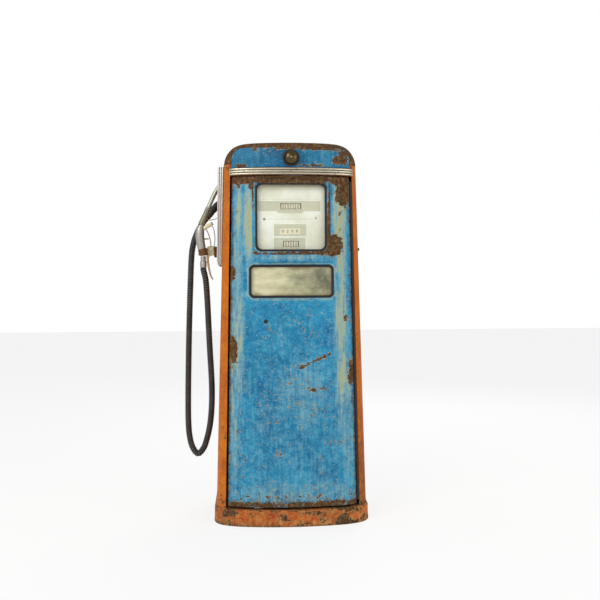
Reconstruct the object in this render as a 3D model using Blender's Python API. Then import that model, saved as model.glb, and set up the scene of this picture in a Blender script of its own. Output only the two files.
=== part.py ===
"""Vintage computing gas pump, built from its separate pieces. Metres, +Z up, front is -Y."""
import math

import bmesh
import bpy
from mathutils import Matrix, Vector
from mathutils.geometry import delaunay_2d_cdt

# Cabinet shell, as it stands on the plinth.
TOTAL_HEIGHT = 1.73
BODY_HALF_WIDTH = 0.346
BODY_FRONT = 0.232
BODY_BACK = 0.228
BODY_BOTTOM = 0.0755
HOOD_SEAM = 1.6325
TAPER_PER_M = 0.080
BOW_RADIUS = 1.20
EDGE_RADIUS = 0.30
EDGE_RUN = 0.077
CORNER_RUN = 0.049
CORNER_START = BODY_HALF_WIDTH - CORNER_RUN
EDGE_START = CORNER_START - EDGE_RUN
FRONT_STATIONS = [CORNER_START * part for part in (0.0, 0.28, 0.54, 0.73, 0.87)]
REAR_CORNER = 0.045
REAR_RETURN = 0.081
REAR_LAP = 0.030
SHEET = 0.002
SEAT = 0.0003

# Plinth and bed plate.
PLINTH_HEIGHT = 0.075
PLINTH_PROUD = 0.009
PLINTH_WALL = 0.006
PLINTH_FLOOR = 0.006
BED_THICK = 0.006
INLET_X = -0.10
INLET_Y = 0.115

# Front door.
DOOR_BOTTOM = 0.084
DOOR_TOP = 1.575
DOOR_MARGIN_LOW = 0.0525
DOOR_MARGIN_HIGH = 0.080
DOOR_HALF_LOW = BODY_HALF_WIDTH - DOOR_MARGIN_LOW
DOOR_HALF_HIGH = BODY_HALF_WIDTH - DOOR_MARGIN_HIGH
DOOR_FLANGE = 0.020
GROOVE_LEFT = 0.008
GROOVE_RIGHT = 0.013
DOOR_SWING_DEG = 100

# Dial window and lower window: recess, glass opening and depth of the opening behind the bow.
DIAL_RECESS = (0.0, 1.399, 0.342, 0.341, 0.022)
DIAL_OPENING = (0.0, 1.3925, 0.310, 0.2975, 0.026)
DIAL_DEPTH = 0.022
AD_RECESS = (0.0, 1.1035, 0.385, 0.152, 0.020)
AD_OPENING = (0.0, 1.102, 0.367, 0.1335, 0.018)
AD_DEPTH = 0.020
GASKET_DEEP = 0.0086
GASKET_LIP = 0.0025
GASKET_OUT = 0.007
GLASS_THICK = 0.004
LOCK_X = -0.117
LOCK_Z = 0.922
LOCK_HOLE = 0.009

# Hood, fascia and bright trim.
HOOD_CORNER = 0.095
HOOD_FRONT_ROLL = 0.022
HOOD_BACK_ROLL = 0.060
HOOD_CROWN = 0.005
FASCIA_LOW = 1.6135
FASCIA_HIGH = 1.7025
FASCIA_MARGIN = 0.0795
FASCIA_HALF = BODY_HALF_WIDTH - FASCIA_MARGIN
FASCIA_CORNER = 0.050
FASCIA_OFF = 0.0014
TRIM_LOW = 1.580
TRIM_RIDGE = 0.0107
TRIM_PROUD = 0.0085
SIDE_TRIM_BEHIND = 0.0468
KNOB_Z = 1.655
KNOB_RADIUS = 0.031
KNOB_RING = 0.038
KNOB_SHAFT = 0.007

# Register and its number wheels.
SHELF_Z = 1.130
REGISTER_TOP = 1.545
DIAL_FACE_Y = -0.160
DIAL_FACE_THICK = 0.002
DIAL_FACE_HALF = 0.170
WHEEL_RADIUS = 0.026
WHEEL_WIDTH = 0.0205
WHEEL_PITCH = 0.0225
WHEEL_Y = -0.130
SALE_Z = 1.442
VOLUME_Z = 1.272
ARBOR = 0.005
FRAME_X = 0.235

# Delivery side: boot, outlet, hose, nozzle and switch lever.
NOZZLE_Y = -0.015
BOOT_LOW = 1.488
BOOT_HIGH = 1.616
BOOT_HALF = 0.042
BOOT_DEEP = 0.048
OUTLET_Y = 0.062
OUTLET_Z = 1.478
HOSE_RADIUS = 0.0155
SWIVEL_RADIUS = 0.0165
SWIVEL_BOTTOM = 1.167
SWIVEL_OUT = 0.0588
NOZZLE_TOP = (0.068, 1.367)
LEVER_PIVOT = (0.0481, 1.353)
STEM_Z = 1.302
SWITCH_Y = 0.022
SWITCH_Z = 1.242
CRANK_Y = 0.0
CRANK_Z = 1.318
CRANK_THROW = 0.066

# Drive unit.
MOTOR = (0.115, 0.190)
MOTOR_RADIUS = 0.075
MOTOR_PULLEY = 0.036
PUMP = (-0.090, 0.215)
PUMP_PULLEY = 0.082
PULLEY_Y = -0.088
PULLEY_WIDTH = 0.022
DRIVE_SHAFT = 0.006


def clear_scene():
    for item in list(bpy.data.objects):
        bpy.data.objects.remove(item, do_unlink=True)


def paint(name, colour, roughness, metallic):
    look = bpy.data.materials.new(name)
    look.use_nodes = True
    shader = look.node_tree.nodes["Principled BSDF"]
    shader.inputs["Base Color"].default_value = (*colour, 1.0)
    shader.inputs["Roughness"].default_value = roughness
    shader.inputs["Metallic"].default_value = metallic
    return look


def solid(name, points, faces, look):
    """One closed body from points and faces, welded where they meet and turned to face out."""
    mesh = bpy.data.meshes.new(name)
    body = bmesh.new()
    corners = [body.verts.new(p) for p in points]
    for face in faces:
        body.faces.new([corners[i] for i in face])
    bmesh.ops.remove_doubles(body, verts=body.verts, dist=1e-6)
    bmesh.ops.recalc_face_normals(body, faces=body.faces)
    body.to_mesh(mesh)
    body.free()
    item = bpy.data.objects.new(name, mesh)
    bpy.context.scene.collection.objects.link(item)
    mesh.materials.append(paint(name, *look))
    return item


def band(count, low, high):
    return [(low + i, low + (i + 1) % count, high + (i + 1) % count, high + i) for i in range(count)]


def loft(name, rings, look, looped=False):
    """A skin over rings of equal count; ends are capped unless the rings close on themselves."""
    count = len(rings[0])
    points = [p for ring in rings for p in ring]
    faces = []
    for i in range(len(rings) - 1):
        faces += band(count, i * count, (i + 1) * count)
    if looped:
        faces += band(count, (len(rings) - 1) * count, 0)
    else:
        faces.append(tuple(range(count)))
        faces.append(tuple(range((len(rings) - 1) * count, len(rings) * count)))
    return solid(name, points, faces, look)


def box(name, low, high, look):
    (x0, y0, z0), (x1, y1, z1) = low, high
    ring = [(x0, y0), (x1, y0), (x1, y1), (x0, y1)]
    return loft(name, [[(x, y, z) for x, y in ring] for z in (z0, z1)], look)


def turned(name, profile, centre, axis, look, sides=16, looped=False):
    """Rings of (radius, height) about an axis through centre."""
    turn = Vector((0, 0, 1)).rotation_difference(Vector(axis)).to_matrix()
    rings = []
    for radius, height in profile:
        ring = []
        for i in range(sides):
            t = 2 * math.pi * (i + 0.5) / sides
            ring.append(Vector(centre) + turn @ Vector((radius * math.cos(t), radius * math.sin(t), height)))
        rings.append(ring)
    return loft(name, rings, look, looped)


def smooth_line(points, steps):
    """Catmull-Rom points through the route points."""
    route = [Vector(p) for p in points]
    route = [2 * route[0] - route[1]] + route + [2 * route[-1] - route[-2]]
    line = []
    for a, b, c, d in zip(route, route[1:], route[2:], route[3:]):
        for i in range(steps):
            t = i / steps
            line.append(0.5 * (2 * b + (c - a) * t + (2 * a - 5 * b + 4 * c - d) * t * t
                               + (3 * b - a - 3 * c + d) * t ** 3))
    line.append(route[-2])
    return line


def rod(name, line, radii, look, sides=10, first=(0, 1, 0)):
    """A round bar along a line, one radius or one per point."""
    line = [Vector(p) for p in line]
    radii = radii if isinstance(radii, (list, tuple)) else [radii] * len(line)
    across = Vector(first)
    rings = []
    for i, point in enumerate(line):
        along = (line[min(i + 1, len(line) - 1)] - line[max(i - 1, 0)]).normalized()
        across = (across - along * across.dot(along)).normalized()
        other = along.cross(across)
        rings.append([
            point + radii[i] * (math.cos(t) * across + math.sin(t) * other)
            for t in (2 * math.pi * (j + 0.5) / sides for j in range(sides))
        ])
    return loft(name, rings, look)


def cord(name, line, radius, look):
    """A round cord or hose as a curve with filled ends."""
    curve = bpy.data.curves.new(name, "CURVE")
    curve.dimensions = "3D"
    curve.bevel_depth = radius
    curve.bevel_resolution = 2
    curve.use_fill_caps = True
    spline = curve.splines.new("POLY")
    spline.points.add(len(line) - 1)
    for point, place in zip(spline.points, line):
        point.co = (*place, 1.0)
    item = bpy.data.objects.new(name, curve)
    bpy.context.scene.collection.objects.link(item)
    curve.materials.append(paint(name, *look))
    return item


def boolean(item, others, how):
    """Joins or cuts with an exact boolean, then drops the tools."""
    for other in others:
        step = item.modifiers.new(how.title(), "BOOLEAN")
        step.object = other
        step.operation = how
        step.solver = "EXACT"
    bpy.context.view_layer.update()
    graph = bpy.context.evaluated_depsgraph_get()
    made = bpy.data.meshes.new_from_object(item.evaluated_get(graph))
    item.modifiers.clear()
    old = item.data
    look = old.materials[0]
    item.data = made
    made.materials.clear()
    made.materials.append(look)
    for face in made.polygons:
        face.material_index = 0
    bpy.data.meshes.remove(old)
    for other in others:
        bpy.data.objects.remove(other, do_unlink=True)
    return item


def shrink(z):
    return 1 - TAPER_PER_M * (z - BODY_BOTTOM)


def corner_arc():
    """Slope angle where the front meets its corner, and the corner's radius and centre."""
    slope = CORNER_START / BOW_RADIUS + (CORNER_START - EDGE_START) / EDGE_RADIUS
    angle = math.atan(slope)
    radius = (BODY_HALF_WIDTH - CORNER_START) / (1 - math.sin(angle))
    y = -BODY_FRONT + CORNER_START ** 2 / (2 * BOW_RADIUS) + (CORNER_START - EDGE_START) ** 2 / (2 * EDGE_RADIUS)
    return angle, radius, BODY_HALF_WIDTH - radius, y + radius * math.cos(angle)


def bow(x):
    """Front line of the untapered plan."""
    x = abs(x)
    if x <= CORNER_START:
        return -BODY_FRONT + x * x / (2 * BOW_RADIUS) + max(0.0, x - EDGE_START) ** 2 / (2 * EDGE_RADIUS)
    angle, radius, cx, cy = corner_arc()
    return cy - math.sqrt(max(0.0, radius ** 2 - (x - cx) ** 2))


def front_y(x, z):
    return shrink(z) * bow(x / shrink(z))


def door_half(z):
    part = (z - DOOR_BOTTOM) / (DOOR_TOP - DOOR_BOTTOM)
    return DOOR_HALF_LOW + (DOOR_HALF_HIGH - DOOR_HALF_LOW) * part


def half_plan(corner_steps=4):
    """Right half of the untapered plan, front centre to rear centre, with outward normals."""
    angle, radius, cx, cy = corner_arc()
    line = []
    for x in FRONT_STATIONS:
        slope = x / BOW_RADIUS + max(0.0, x - EDGE_START) / EDGE_RADIUS
        line.append((Vector((x, bow(x))), Vector((slope, -1)).normalized()))
    for i in range(corner_steps + 1):
        t = angle + (math.pi / 2 - angle) * i / corner_steps
        out = Vector((math.sin(t), -math.cos(t)))
        line.append((Vector((cx, cy)) + radius * out, out))
    for i in range(4):
        t = math.pi / 2 * i / 3
        out = Vector((math.cos(t), math.sin(t)))
        at = Vector((BODY_HALF_WIDTH - REAR_CORNER, BODY_BACK - REAR_CORNER))
        line.append((at + REAR_CORNER * out, out))
    line.append((Vector((0, BODY_BACK)), Vector((0, 1))))
    return line


def plan(offset=0.0):
    """Whole closed plan, moved outward by an offset."""
    half = [p + n * offset for p, n in half_plan()]
    return half + [Vector((-p.x, p.y)) for p in half[-2:0:-1]]


def plan_ring(z, offset=0.0):
    return [(p.x * shrink(z), p.y * shrink(z), z) for p in plan(offset)]


def rounded(cx, cz, width, height, radius, grow=0.0, steps=3):
    """Rounded rectangle as (x, z) points, grown outward."""
    a, b, r = width / 2 + grow, height / 2 + grow, radius + grow
    points = []
    for sx, sz, start in ((1, 1, 0), (-1, 1, 90), (-1, -1, 180), (1, -1, 270)):
        for i in range(steps + 1):
            t = math.radians(start + 90 * i / steps)
            points.append((cx + sx * (a - r) + r * math.cos(t), cz + sz * (b - r) + r * math.sin(t)))
    return points


def circle(cx, cz, radius, sides=12):
    return [(cx + radius * math.cos(2 * math.pi * i / sides), cz + radius * math.sin(2 * math.pi * i / sides))
            for i in range(sides)]


def inside(point, loop):
    x, z = point
    hit = False
    for (x0, z0), (x1, z1) in zip(loop, loop[1:] + loop[:1]):
        if (z0 > z) != (z1 > z) and x < (x1 - x0) * (z - z0) / (z1 - z0) + x0:
            hit = not hit
    return hit


def skin(outline, holes, extra, lift):
    """Triangles over an outline with holes, lifted to 3-D."""
    points, edges = [], []
    for loop in [outline] + holes:
        start = len(points)
        points += loop
        edges += [(start + i, start + (i + 1) % len(loop)) for i in range(len(loop))]
    grown = [[(p[0] + (p[0] - sum(q[0] for q in h) / len(h)) * 0.02,
               p[1] + (p[1] - sum(q[1] for q in h) / len(h)) * 0.02) for p in h] for h in holes]
    points += [p for p in extra if not any(inside(p, h) for h in grown)]
    made = delaunay_2d_cdt([Vector(p) for p in points], edges, [], 0, 1e-7)
    flat = made[0]
    faces = []
    for face in made[2]:
        a, b, c = (flat[i] for i in face)
        if abs((b - a).cross(c - a)) < 1e-8:
            continue
        middle = (sum(flat[i].x for i in face) / len(face), sum(flat[i].y for i in face) / len(face))
        if inside(middle, outline) and not any(inside(middle, h) for h in holes):
            faces.append(tuple(face))
    return [lift(p.x, p.y) for p in flat], faces


def gather(name, parts, look):
    """Several point and face lists welded to one body, without the points no face uses."""
    points, faces = [], []
    for some, over in parts:
        used = sorted({i for f in over for i in f})
        at = {i: len(points) + n for n, i in enumerate(used)}
        points += [some[i] for i in used]
        faces += [tuple(at[i] for i in f) for f in over]
    return solid(name, points, faces, look)


def bands(*loops):
    """Walls from loop to loop."""
    count = len(loops[0])
    points = [p for loop in loops for p in loop]
    faces = []
    for i in range(len(loops) - 1):
        faces += band(count, i * count, (i + 1) * count)
    return points, faces


def strip(path, thick):
    """Closed section of a bent sheet, thickened to the left of its path."""
    inner = []
    for i, p in enumerate(path):
        before = (p - path[i - 1]).normalized() if i else None
        after = (path[i + 1] - p).normalized() if i + 1 < len(path) else None
        before, after = before or after, after or before
        left = (Vector((-before.y, before.x)) + Vector((-after.y, after.x))).normalized()
        inner.append(p + left * thick / max(0.3, left.dot(Vector((-after.y, after.x)))))
    return list(path) + inner[::-1]


ORANGE = ((0.60, 0.19, 0.05), 0.55, 0.0)
BLUE = ((0.03, 0.18, 0.42), 0.5, 0.0)
BASE_RED = ((0.45, 0.12, 0.04), 0.6, 0.0)
BROWN = ((0.20, 0.09, 0.04), 0.7, 0.0)
BRIGHT = ((0.75, 0.72, 0.66), 0.25, 1.0)
STEEL = ((0.32, 0.33, 0.34), 0.5, 0.9)
CAST = ((0.14, 0.15, 0.16), 0.6, 0.8)
DARK = ((0.03, 0.03, 0.035), 0.7, 0.0)
CREAM = ((0.70, 0.64, 0.50), 0.5, 0.0)
WHITE = ((0.75, 0.74, 0.68), 0.5, 0.0)
GLASS = ((0.75, 0.80, 0.78), 0.08, 0.0)
MILKY = ((0.72, 0.66, 0.48), 0.25, 0.0)
SILVER = ((0.55, 0.56, 0.56), 0.4, 0.9)
BRASS = ((0.55, 0.40, 0.18), 0.4, 0.9)
GREY = ((0.22, 0.25, 0.27), 0.5, 0.0)


def plinth():
    top = PLINTH_HEIGHT
    rings = [
        plan_ring(0.0, PLINTH_PROUD - 0.003), plan_ring(0.006, PLINTH_PROUD),
        plan_ring(top - 0.012, PLINTH_PROUD), plan_ring(top - 0.003, PLINTH_PROUD - 0.003),
        plan_ring(top, PLINTH_PROUD - 0.008), plan_ring(top, -0.030), plan_ring(top - 0.005, -0.030),
        plan_ring(top - 0.006, PLINTH_PROUD - PLINTH_WALL), plan_ring(PLINTH_FLOOR, PLINTH_PROUD - PLINTH_WALL),
    ]
    item = loft("base_plinth", rings, BASE_RED)
    opening = box("cut", (INLET_X - 0.075, INLET_Y - 0.055, -0.01), (INLET_X + 0.075, INLET_Y + 0.055, 0.02), DARK)
    return boolean(item, [opening], "DIFFERENCE")


def bed_plate():
    low = PLINTH_HEIGHT + 0.0002
    item = loft("bed_plate", [plan_ring(z, -SHEET - 0.0006) for z in (low, low + BED_THICK)], CAST)
    # The door's foot and its flange pass in front of the plate.
    wide = DOOR_HALF_LOW + GROOVE_RIGHT + 0.0055
    back = bow(wide) + 0.024
    notch = box("cut", (-wide, -0.3, low - 0.01), (wide, max(back, -0.150), low + 0.02), DARK)
    hole = turned("cut", [(0.034, low - 0.01), (0.034, low + 0.02)], (INLET_X, INLET_Y, 0), (0, 0, 1), DARK)
    return boolean(item, [notch, hole], "DIFFERENCE")


def ladder(name, side):
    """Side frame: two posts and four rungs in one plane, with feet under it."""
    low, high = PLINTH_HEIGHT + BED_THICK + 0.0005, 1.600
    front, back, post = -0.140, 0.165, 0.032
    outline = [(front, low), (back, low), (back, high), (front, high)]
    marks = [low + 0.05, 0.46, 0.50, 0.84, 0.88, SHELF_Z - 0.035, SHELF_Z + 0.01, high - 0.05]
    holes = [[(front + post, a), (back - post, a), (back - post, b), (front + post, b)]
             for a, b in zip(marks[::2], marks[1::2])]
    x0, x1 = side * FRAME_X, side * (FRAME_X + 0.005)
    parts = []
    for x in (x0, x1):
        parts.append(skin(outline, holes, [], lambda y, z, x=x: (x, y, z)))
    for loop in [outline] + holes:
        parts.append(bands([(x0, y, z) for y, z in loop], [(x1, y, z) for y, z in loop]))
    return gather(name, parts, STEEL)


def side_path(z, groove):
    """Plan line of a side panel at one height, from its front return round to the rear."""
    angle, radius, cx, cy = corner_arc()
    start = (door_half(z) + groove) / shrink(z)
    first = math.asin((start - cx) / radius)
    path = [Vector((start, bow(start) + 0.018)), Vector((start, bow(start)))]
    for i in range(1, 7):
        t = first + (math.pi / 2 - first) * i / 6
        path.append(Vector((cx + radius * math.sin(t), cy - radius * math.cos(t))))
    for i in range(4):
        t = math.pi / 2 * i / 3
        path.append(Vector((BODY_HALF_WIDTH - REAR_CORNER + REAR_CORNER * math.cos(t),
                            BODY_BACK - REAR_CORNER + REAR_CORNER * math.sin(t))))
    path.append(Vector((BODY_HALF_WIDTH - REAR_RETURN, BODY_BACK)))
    return path


def side_panel(name, side, groove, cuts):
    rings = []
    for z in (BODY_BOTTOM, 0.40, 0.75, 1.10, 1.37, HOOD_SEAM):
        k = shrink(z)
        rings.append([(side * p.x * k, p.y * k, z) for p in strip(side_path(z, groove), SHEET)])
    item = loft(name, rings, ORANGE)
    return boolean(item, cuts, "DIFFERENCE")


def side_panels():
    wall = BODY_HALF_WIDTH * shrink(BOOT_LOW)
    boot = box("cut", (-wall - 0.03, NOZZLE_Y - BOOT_HALF + 0.004, BOOT_LOW + 0.004),
               (-wall + 0.04, NOZZLE_Y + BOOT_HALF - 0.004, BOOT_HIGH - 0.004), DARK)
    outlet = turned("cut", [(0.0185, -0.03), (0.0185, 0.03)], (-wall, OUTLET_Y, OUTLET_Z), (1, 0, 0), DARK)
    switch = turned("cut", [(0.009, -0.05), (0.009, 0.05)], (-wall, SWITCH_Y, SWITCH_Z), (1, 0, 0), DARK, 12)
    side_panel("side_panel_left", -1, GROOVE_LEFT, [boot, outlet, switch])
    crank = turned("cut", [(0.0085, -0.05), (0.0085, 0.05)], (wall, CRANK_Y, CRANK_Z), (1, 0, 0), DARK, 12)
    side_panel("side_panel_right", 1, GROOVE_RIGHT, [crank])


def rear_panel():
    rings = []
    for z in (0.079, HOOD_SEAM - 0.004):
        k = shrink(z)
        y = BODY_BACK * k + 0.0004
        x = (BODY_HALF_WIDTH - REAR_RETURN + REAR_LAP) * k
        rings.append([(-x, y, z), (x, y, z), (x, y + SHEET, z), (-x, y + SHEET, z)])
    return loft("rear_panel", rings, BLUE)


def header_rail():
    """Fixed rail over the door, between the side panels' front edges."""
    rings = []
    for z in (DOOR_TOP + 0.003, HOOD_SEAM - 0.0006):
        left, right = door_half(z) + GROOVE_LEFT - SEAT, door_half(z) + GROOVE_RIGHT - SEAT
        xs = [-left + (left + right) * i / 16 for i in range(17)]
        rings.append([(x, front_y(x, z) + 0.0003, z) for x in xs]
                     + [(x, front_y(x, z) + 0.0043, z) for x in xs[::-1]])
    return loft("header_rail", rings, ORANGE)


def hood_ring(part, offset=0.0, crown=0.0):
    """Ring of the hood at part of its quarter turn, inset by an offset; crown shrinks it to the top."""
    t = math.radians(90 * part)
    z = HOOD_SEAM + 0.0004 + (TOTAL_HEIGHT - HOOD_CROWN - HOOD_SEAM) * math.sin(t)
    k = shrink(z)
    inset = 1 - math.cos(t)
    sx = 1 - HOOD_CORNER * inset / BODY_HALF_WIDTH
    front = 1 - HOOD_FRONT_ROLL * inset ** 3 / BODY_FRONT
    back = 1 - HOOD_BACK_ROLL * inset / BODY_BACK
    small = 1 - crown
    lift = (HOOD_CROWN - 0.0004) * (1 - small ** 2) + offset * math.sin(t)
    return [(p.x * k * sx * small, p.y * k * (front if p.y < 0 else back) * small, z + lift) for p in plan(offset)]


def hood():
    parts = (0.0, 0.3, 0.55, 0.75, 0.9, 1.0)
    outer = [hood_ring(p) for p in parts] + [hood_ring(1.0, 0.0, c) for c in (0.4, 0.9)]
    inner = [hood_ring(p, -SHEET) for p in parts] + [hood_ring(1.0, -SHEET, c) for c in (0.4, 0.9)]
    item = loft("hood", outer[::-1] + inner, BROWN)
    shaft = turned("cut", [(KNOB_SHAFT + 0.0015, -0.05), (KNOB_SHAFT + 0.0015, 0.05)],
                   (0, -0.2, KNOB_Z), (0, 1, 0), DARK, 12)
    return boolean(item, [shaft], "DIFFERENCE")


def hood_width(z):
    """How far the hood's sides have rolled in at one height, as a share of its width."""
    if z <= HOOD_SEAM:
        return 1.0
    t = math.asin(min(1.0, (z - HOOD_SEAM - 0.0004) / (TOTAL_HEIGHT - HOOD_CROWN - HOOD_SEAM)))
    return 1 - HOOD_CORNER * (1 - math.cos(t)) / BODY_HALF_WIDTH


def upper_front_y(x, z):
    """Front surface above the door, carried up over the hood's roll."""
    if z <= HOOD_SEAM:
        return front_y(x, z)
    t = math.asin(min(1.0, (z - HOOD_SEAM - 0.0004) / (TOTAL_HEIGHT - HOOD_CROWN - HOOD_SEAM)))
    inset = 1 - math.cos(t)
    k, sx = shrink(z), hood_width(z)
    return k * (1 - HOOD_FRONT_ROLL * inset ** 3 / BODY_FRONT) * bow(min(BODY_HALF_WIDTH, abs(x) / (k * sx)))


def fascia_half(z):
    over = max(0.0, z - (FASCIA_HIGH - FASCIA_CORNER))
    return FASCIA_HALF - FASCIA_CORNER + math.sqrt(max(0.0, FASCIA_CORNER ** 2 - over ** 2))


def fascia():
    stations = [p.x for p, _ in half_plan()[:len(FRONT_STATIONS) + 4]]
    up = (0.0, 0.25, 0.45, 0.62, 0.76, 0.88, 0.96, 1.0)
    rings = []
    for part in up:
        z = FASCIA_LOW + (FASCIA_HIGH - FASCIA_LOW) * part
        half, wide = fascia_half(z), shrink(z) * hood_width(z)
        row = [min(x * wide, half - 0.002 * (len(stations) - i)) for i, x in enumerate(stations)] + [half]
        row = [-x for x in row[:0:-1]] + row
        rings.append([(x, upper_front_y(x, z) - FASCIA_OFF - SHEET, z) for x in row]
                     + [(x, upper_front_y(x, z) - FASCIA_OFF, z) for x in row[::-1]])
    item = loft("front_fascia", rings, BLUE)
    shaft = turned("cut", [(KNOB_SHAFT + 0.0015, -0.05), (KNOB_SHAFT + 0.0015, 0.05)],
                   (0, -0.2, KNOB_Z), (0, 1, 0), DARK, 12)
    return boolean(item, [shaft], "DIFFERENCE")


def ridge_section(ridges, pitch, proud, root=0.0008):
    """Section of a ridged moulding as (stand-off, rise)."""
    low = proud - 0.0035
    points = [(root, 0.0)]
    for i in range(ridges):
        points += [(low, i * pitch + 0.0002 * (i > 0)), (proud, i * pitch + pitch * 0.28),
                   (proud, i * pitch + pitch * 0.70), (low, (i + 1) * pitch - 0.0006)]
    return points + [(root, ridges * pitch - 0.0006)]


def front_trim():
    """Bright ridged band over the head of the door, from groove to groove."""
    left, right = (door_half(TRIM_LOW) + groove for groove in (GROOVE_LEFT, GROOVE_RIGHT))
    rings = []
    for i in range(21):
        x = -left + (left + right) * i / 20
        rise = front_y(x + 0.0001, TRIM_LOW) - front_y(x - 0.0001, TRIM_LOW)
        p, n = Vector((x, front_y(x, TRIM_LOW))), Vector((rise, -0.0002)).normalized()
        rings.append([(*(p + n * out), TRIM_LOW + up) for out, up in ridge_section(3, TRIM_RIDGE, TRIM_PROUD)])
    return loft("front_trim", rings, BRIGHT)


def side_trim():
    """Upright ridged moulding on the left side, behind the corner."""
    rings = []
    for z, wide in ((1.170, 0.018), (1.190, 0.024), (1.628, 0.028)):
        x, back = -BODY_HALF_WIDTH * shrink(z) - 0.0005, corner_arc()[3] + SIDE_TRIM_BEHIND
        section = [(0.0, 0.0), (0.0, -0.026)]
        for i in range(3):
            section += [(i / 3 + 0.03, -0.028), (i / 3 + 0.08, -0.0325), (i / 3 + 0.25, -0.0325),
                        (i / 3 + 0.30, -0.028)]
        section += [(1.0, -0.024), (1.0, -0.008), (0.8, 0.0)]
        rings.append([(x - wide * out, back + y, z) for out, y in section])
    return loft("side_trim", rings, BRIGHT)


def ring_frame(name, opening, depth, section, look):
    """A closed section of (grow, behind) carried round a window's opening."""
    cx, cz, width, height, radius = opening
    rings = []
    for grow, behind in section:
        rings.append([(x, front_y(0, z) + depth + behind, z)
                      for x, z in rounded(cx, cz, width, height, radius, grow)])
    return loft(name, rings, look, looped=True)


def window_set(gasket, glass, opening, depth, look):
    back = depth + SHEET + SEAT
    lip, out = GASKET_LIP, GASKET_OUT
    slot, edge = 0.0020, 0.0034
    ring_frame(gasket, opening, back, [
        (-lip, 0), (out, 0), (out, GASKET_DEEP), (-lip, GASKET_DEEP), (-lip, GASKET_DEEP - slot),
        (edge, GASKET_DEEP - slot), (edge, slot), (-lip, slot)], DARK)
    cx, cz, width, height, radius = opening
    start = back + (GASKET_DEEP - GLASS_THICK) / 2
    rings = []
    for behind in (start, start + GLASS_THICK):
        rings.append([(x, front_y(0, z) + behind, z)
                      for x, z in rounded(cx, cz, width, height, radius, edge - SEAT)])
    return loft(glass, rings, look)


def door_outline(inset):
    """Door outline as (x, z), with points along every edge."""
    low, high = DOOR_BOTTOM + inset, DOOR_TOP - inset
    across = (-1, -0.93, -0.85, -0.74, -0.58, -0.4, -0.2, 0, 0.2, 0.4, 0.58, 0.74, 0.85, 0.93)
    up = (0, 0.2, 0.4, 0.6, 0.8)
    span = high - low
    bottom = [(a * (door_half(low) - inset), low) for a in across]
    right = [(door_half(low + span * u) - inset, low + span * u) for u in up]
    top = [(-a * (door_half(high) - inset), high) for a in across]
    left = [(-(door_half(high - span * u) - inset), high - span * u) for u in up]
    return bottom + right + top + left


def front_door():
    outline, inner = door_outline(0.0), door_outline(SHEET)
    grid = []
    for u in (0.12, 0.24, 0.36, 0.47, 0.57, 0.70, 0.88):
        z = DOOR_BOTTOM + (DOOR_TOP - DOOR_BOTTOM) * u
        grid += [(a * door_half(z), z)
                 for a in (-0.93, -0.85, -0.74, -0.5, -0.25, 0, 0.25, 0.5, 0.74, 0.85, 0.93)]

    def outside(x, z):
        return (x, front_y(x, z), z)

    def behind(x, z):
        return (x, front_y(x, z) + SHEET, z)

    dial, dial_in = rounded(*DIAL_RECESS), rounded(*DIAL_RECESS, grow=SHEET)
    ad, ad_in = rounded(*AD_RECESS), rounded(*AD_RECESS, grow=SHEET)
    lock = circle(LOCK_X, LOCK_Z, LOCK_HOLE)
    parts = [skin(outline, [dial, ad, lock], grid, outside), skin(inner, [dial_in, ad_in, lock], grid, behind)]

    def flange(x, z):
        return (x, front_y(x, z) + DOOR_FLANGE, z)

    parts.append(bands([outside(*p) for p in outline], [flange(*p) for p in outline],
                       [flange(*p) for p in inner], [behind(*p) for p in inner]))
    parts.append(bands([outside(*p) for p in lock], [behind(*p) for p in lock]))
    windows = ((dial, dial_in, DIAL_OPENING, DIAL_DEPTH), (ad, ad_in, AD_OPENING, AD_DEPTH))
    for recess, grown, opening, depth in windows:
        hole = rounded(*opening)
        parts.append(bands([outside(*p) for p in recess], [(x, front_y(0, z) + depth, z) for x, z in hole],
                           [(x, front_y(0, z) + depth + SHEET, z) for x, z in hole], [behind(*p) for p in grown]))
    return gather("front_door", parts, BLUE)


def hinge_line():
    """Foot and head of the door's hinge axis, in the right-hand groove."""
    ends = []
    for z in (DOOR_BOTTOM + 0.02, DOOR_TOP - 0.02):
        ends.append(Vector((door_half(z) + GROOVE_RIGHT / 2, front_y(door_half(z), z) + 0.006, z)))
    return ends


def door_hinge():
    foot, head = hinge_line()
    length = (head - foot).length
    turn = Vector((0, 0, 1)).rotation_difference((head - foot).normalized()).to_matrix().to_4x4()
    place = Matrix.Translation(foot) @ turn
    step = length / 5
    barrel, pin = 0.0042, 0.0018
    for name, mine, side in (("hinge_leaf_fixed", (0, 2, 4), 1), ("hinge_leaf_door", (1, 3), -1)):
        sign = sorted((side * 0.0047, side * 0.0060))
        leaf = box(name, (sign[0], 0.0, 0.0), (sign[1], 0.019, length), STEEL)
        tools = []
        for i in mine:
            low, high = i * step + SEAT, (i + 1) * step - SEAT
            profile = [(barrel, low), (barrel, high)]
            if side < 0:
                profile = [(barrel, low), (barrel, high), (pin + 0.0004, high), (pin + 0.0004, low)]
            tools.append(turned("tool", profile, (0, 0, 0), (0, 0, 1), STEEL, 10, looped=side < 0))
            web = sorted((side * 0.0030, side * 0.0055))
            tools.append(box("tool", (web[0], 0.0006, low + 0.001), (web[1], 0.0022, high - 0.001), STEEL))
        if side > 0:
            tools.append(turned("tool", [(pin, 0.003), (pin, length - 0.003)], (0, 0, 0), (0, 0, 1), STEEL, 10))
        boolean(leaf, tools, "UNION")
        leaf.data.transform(place)


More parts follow.
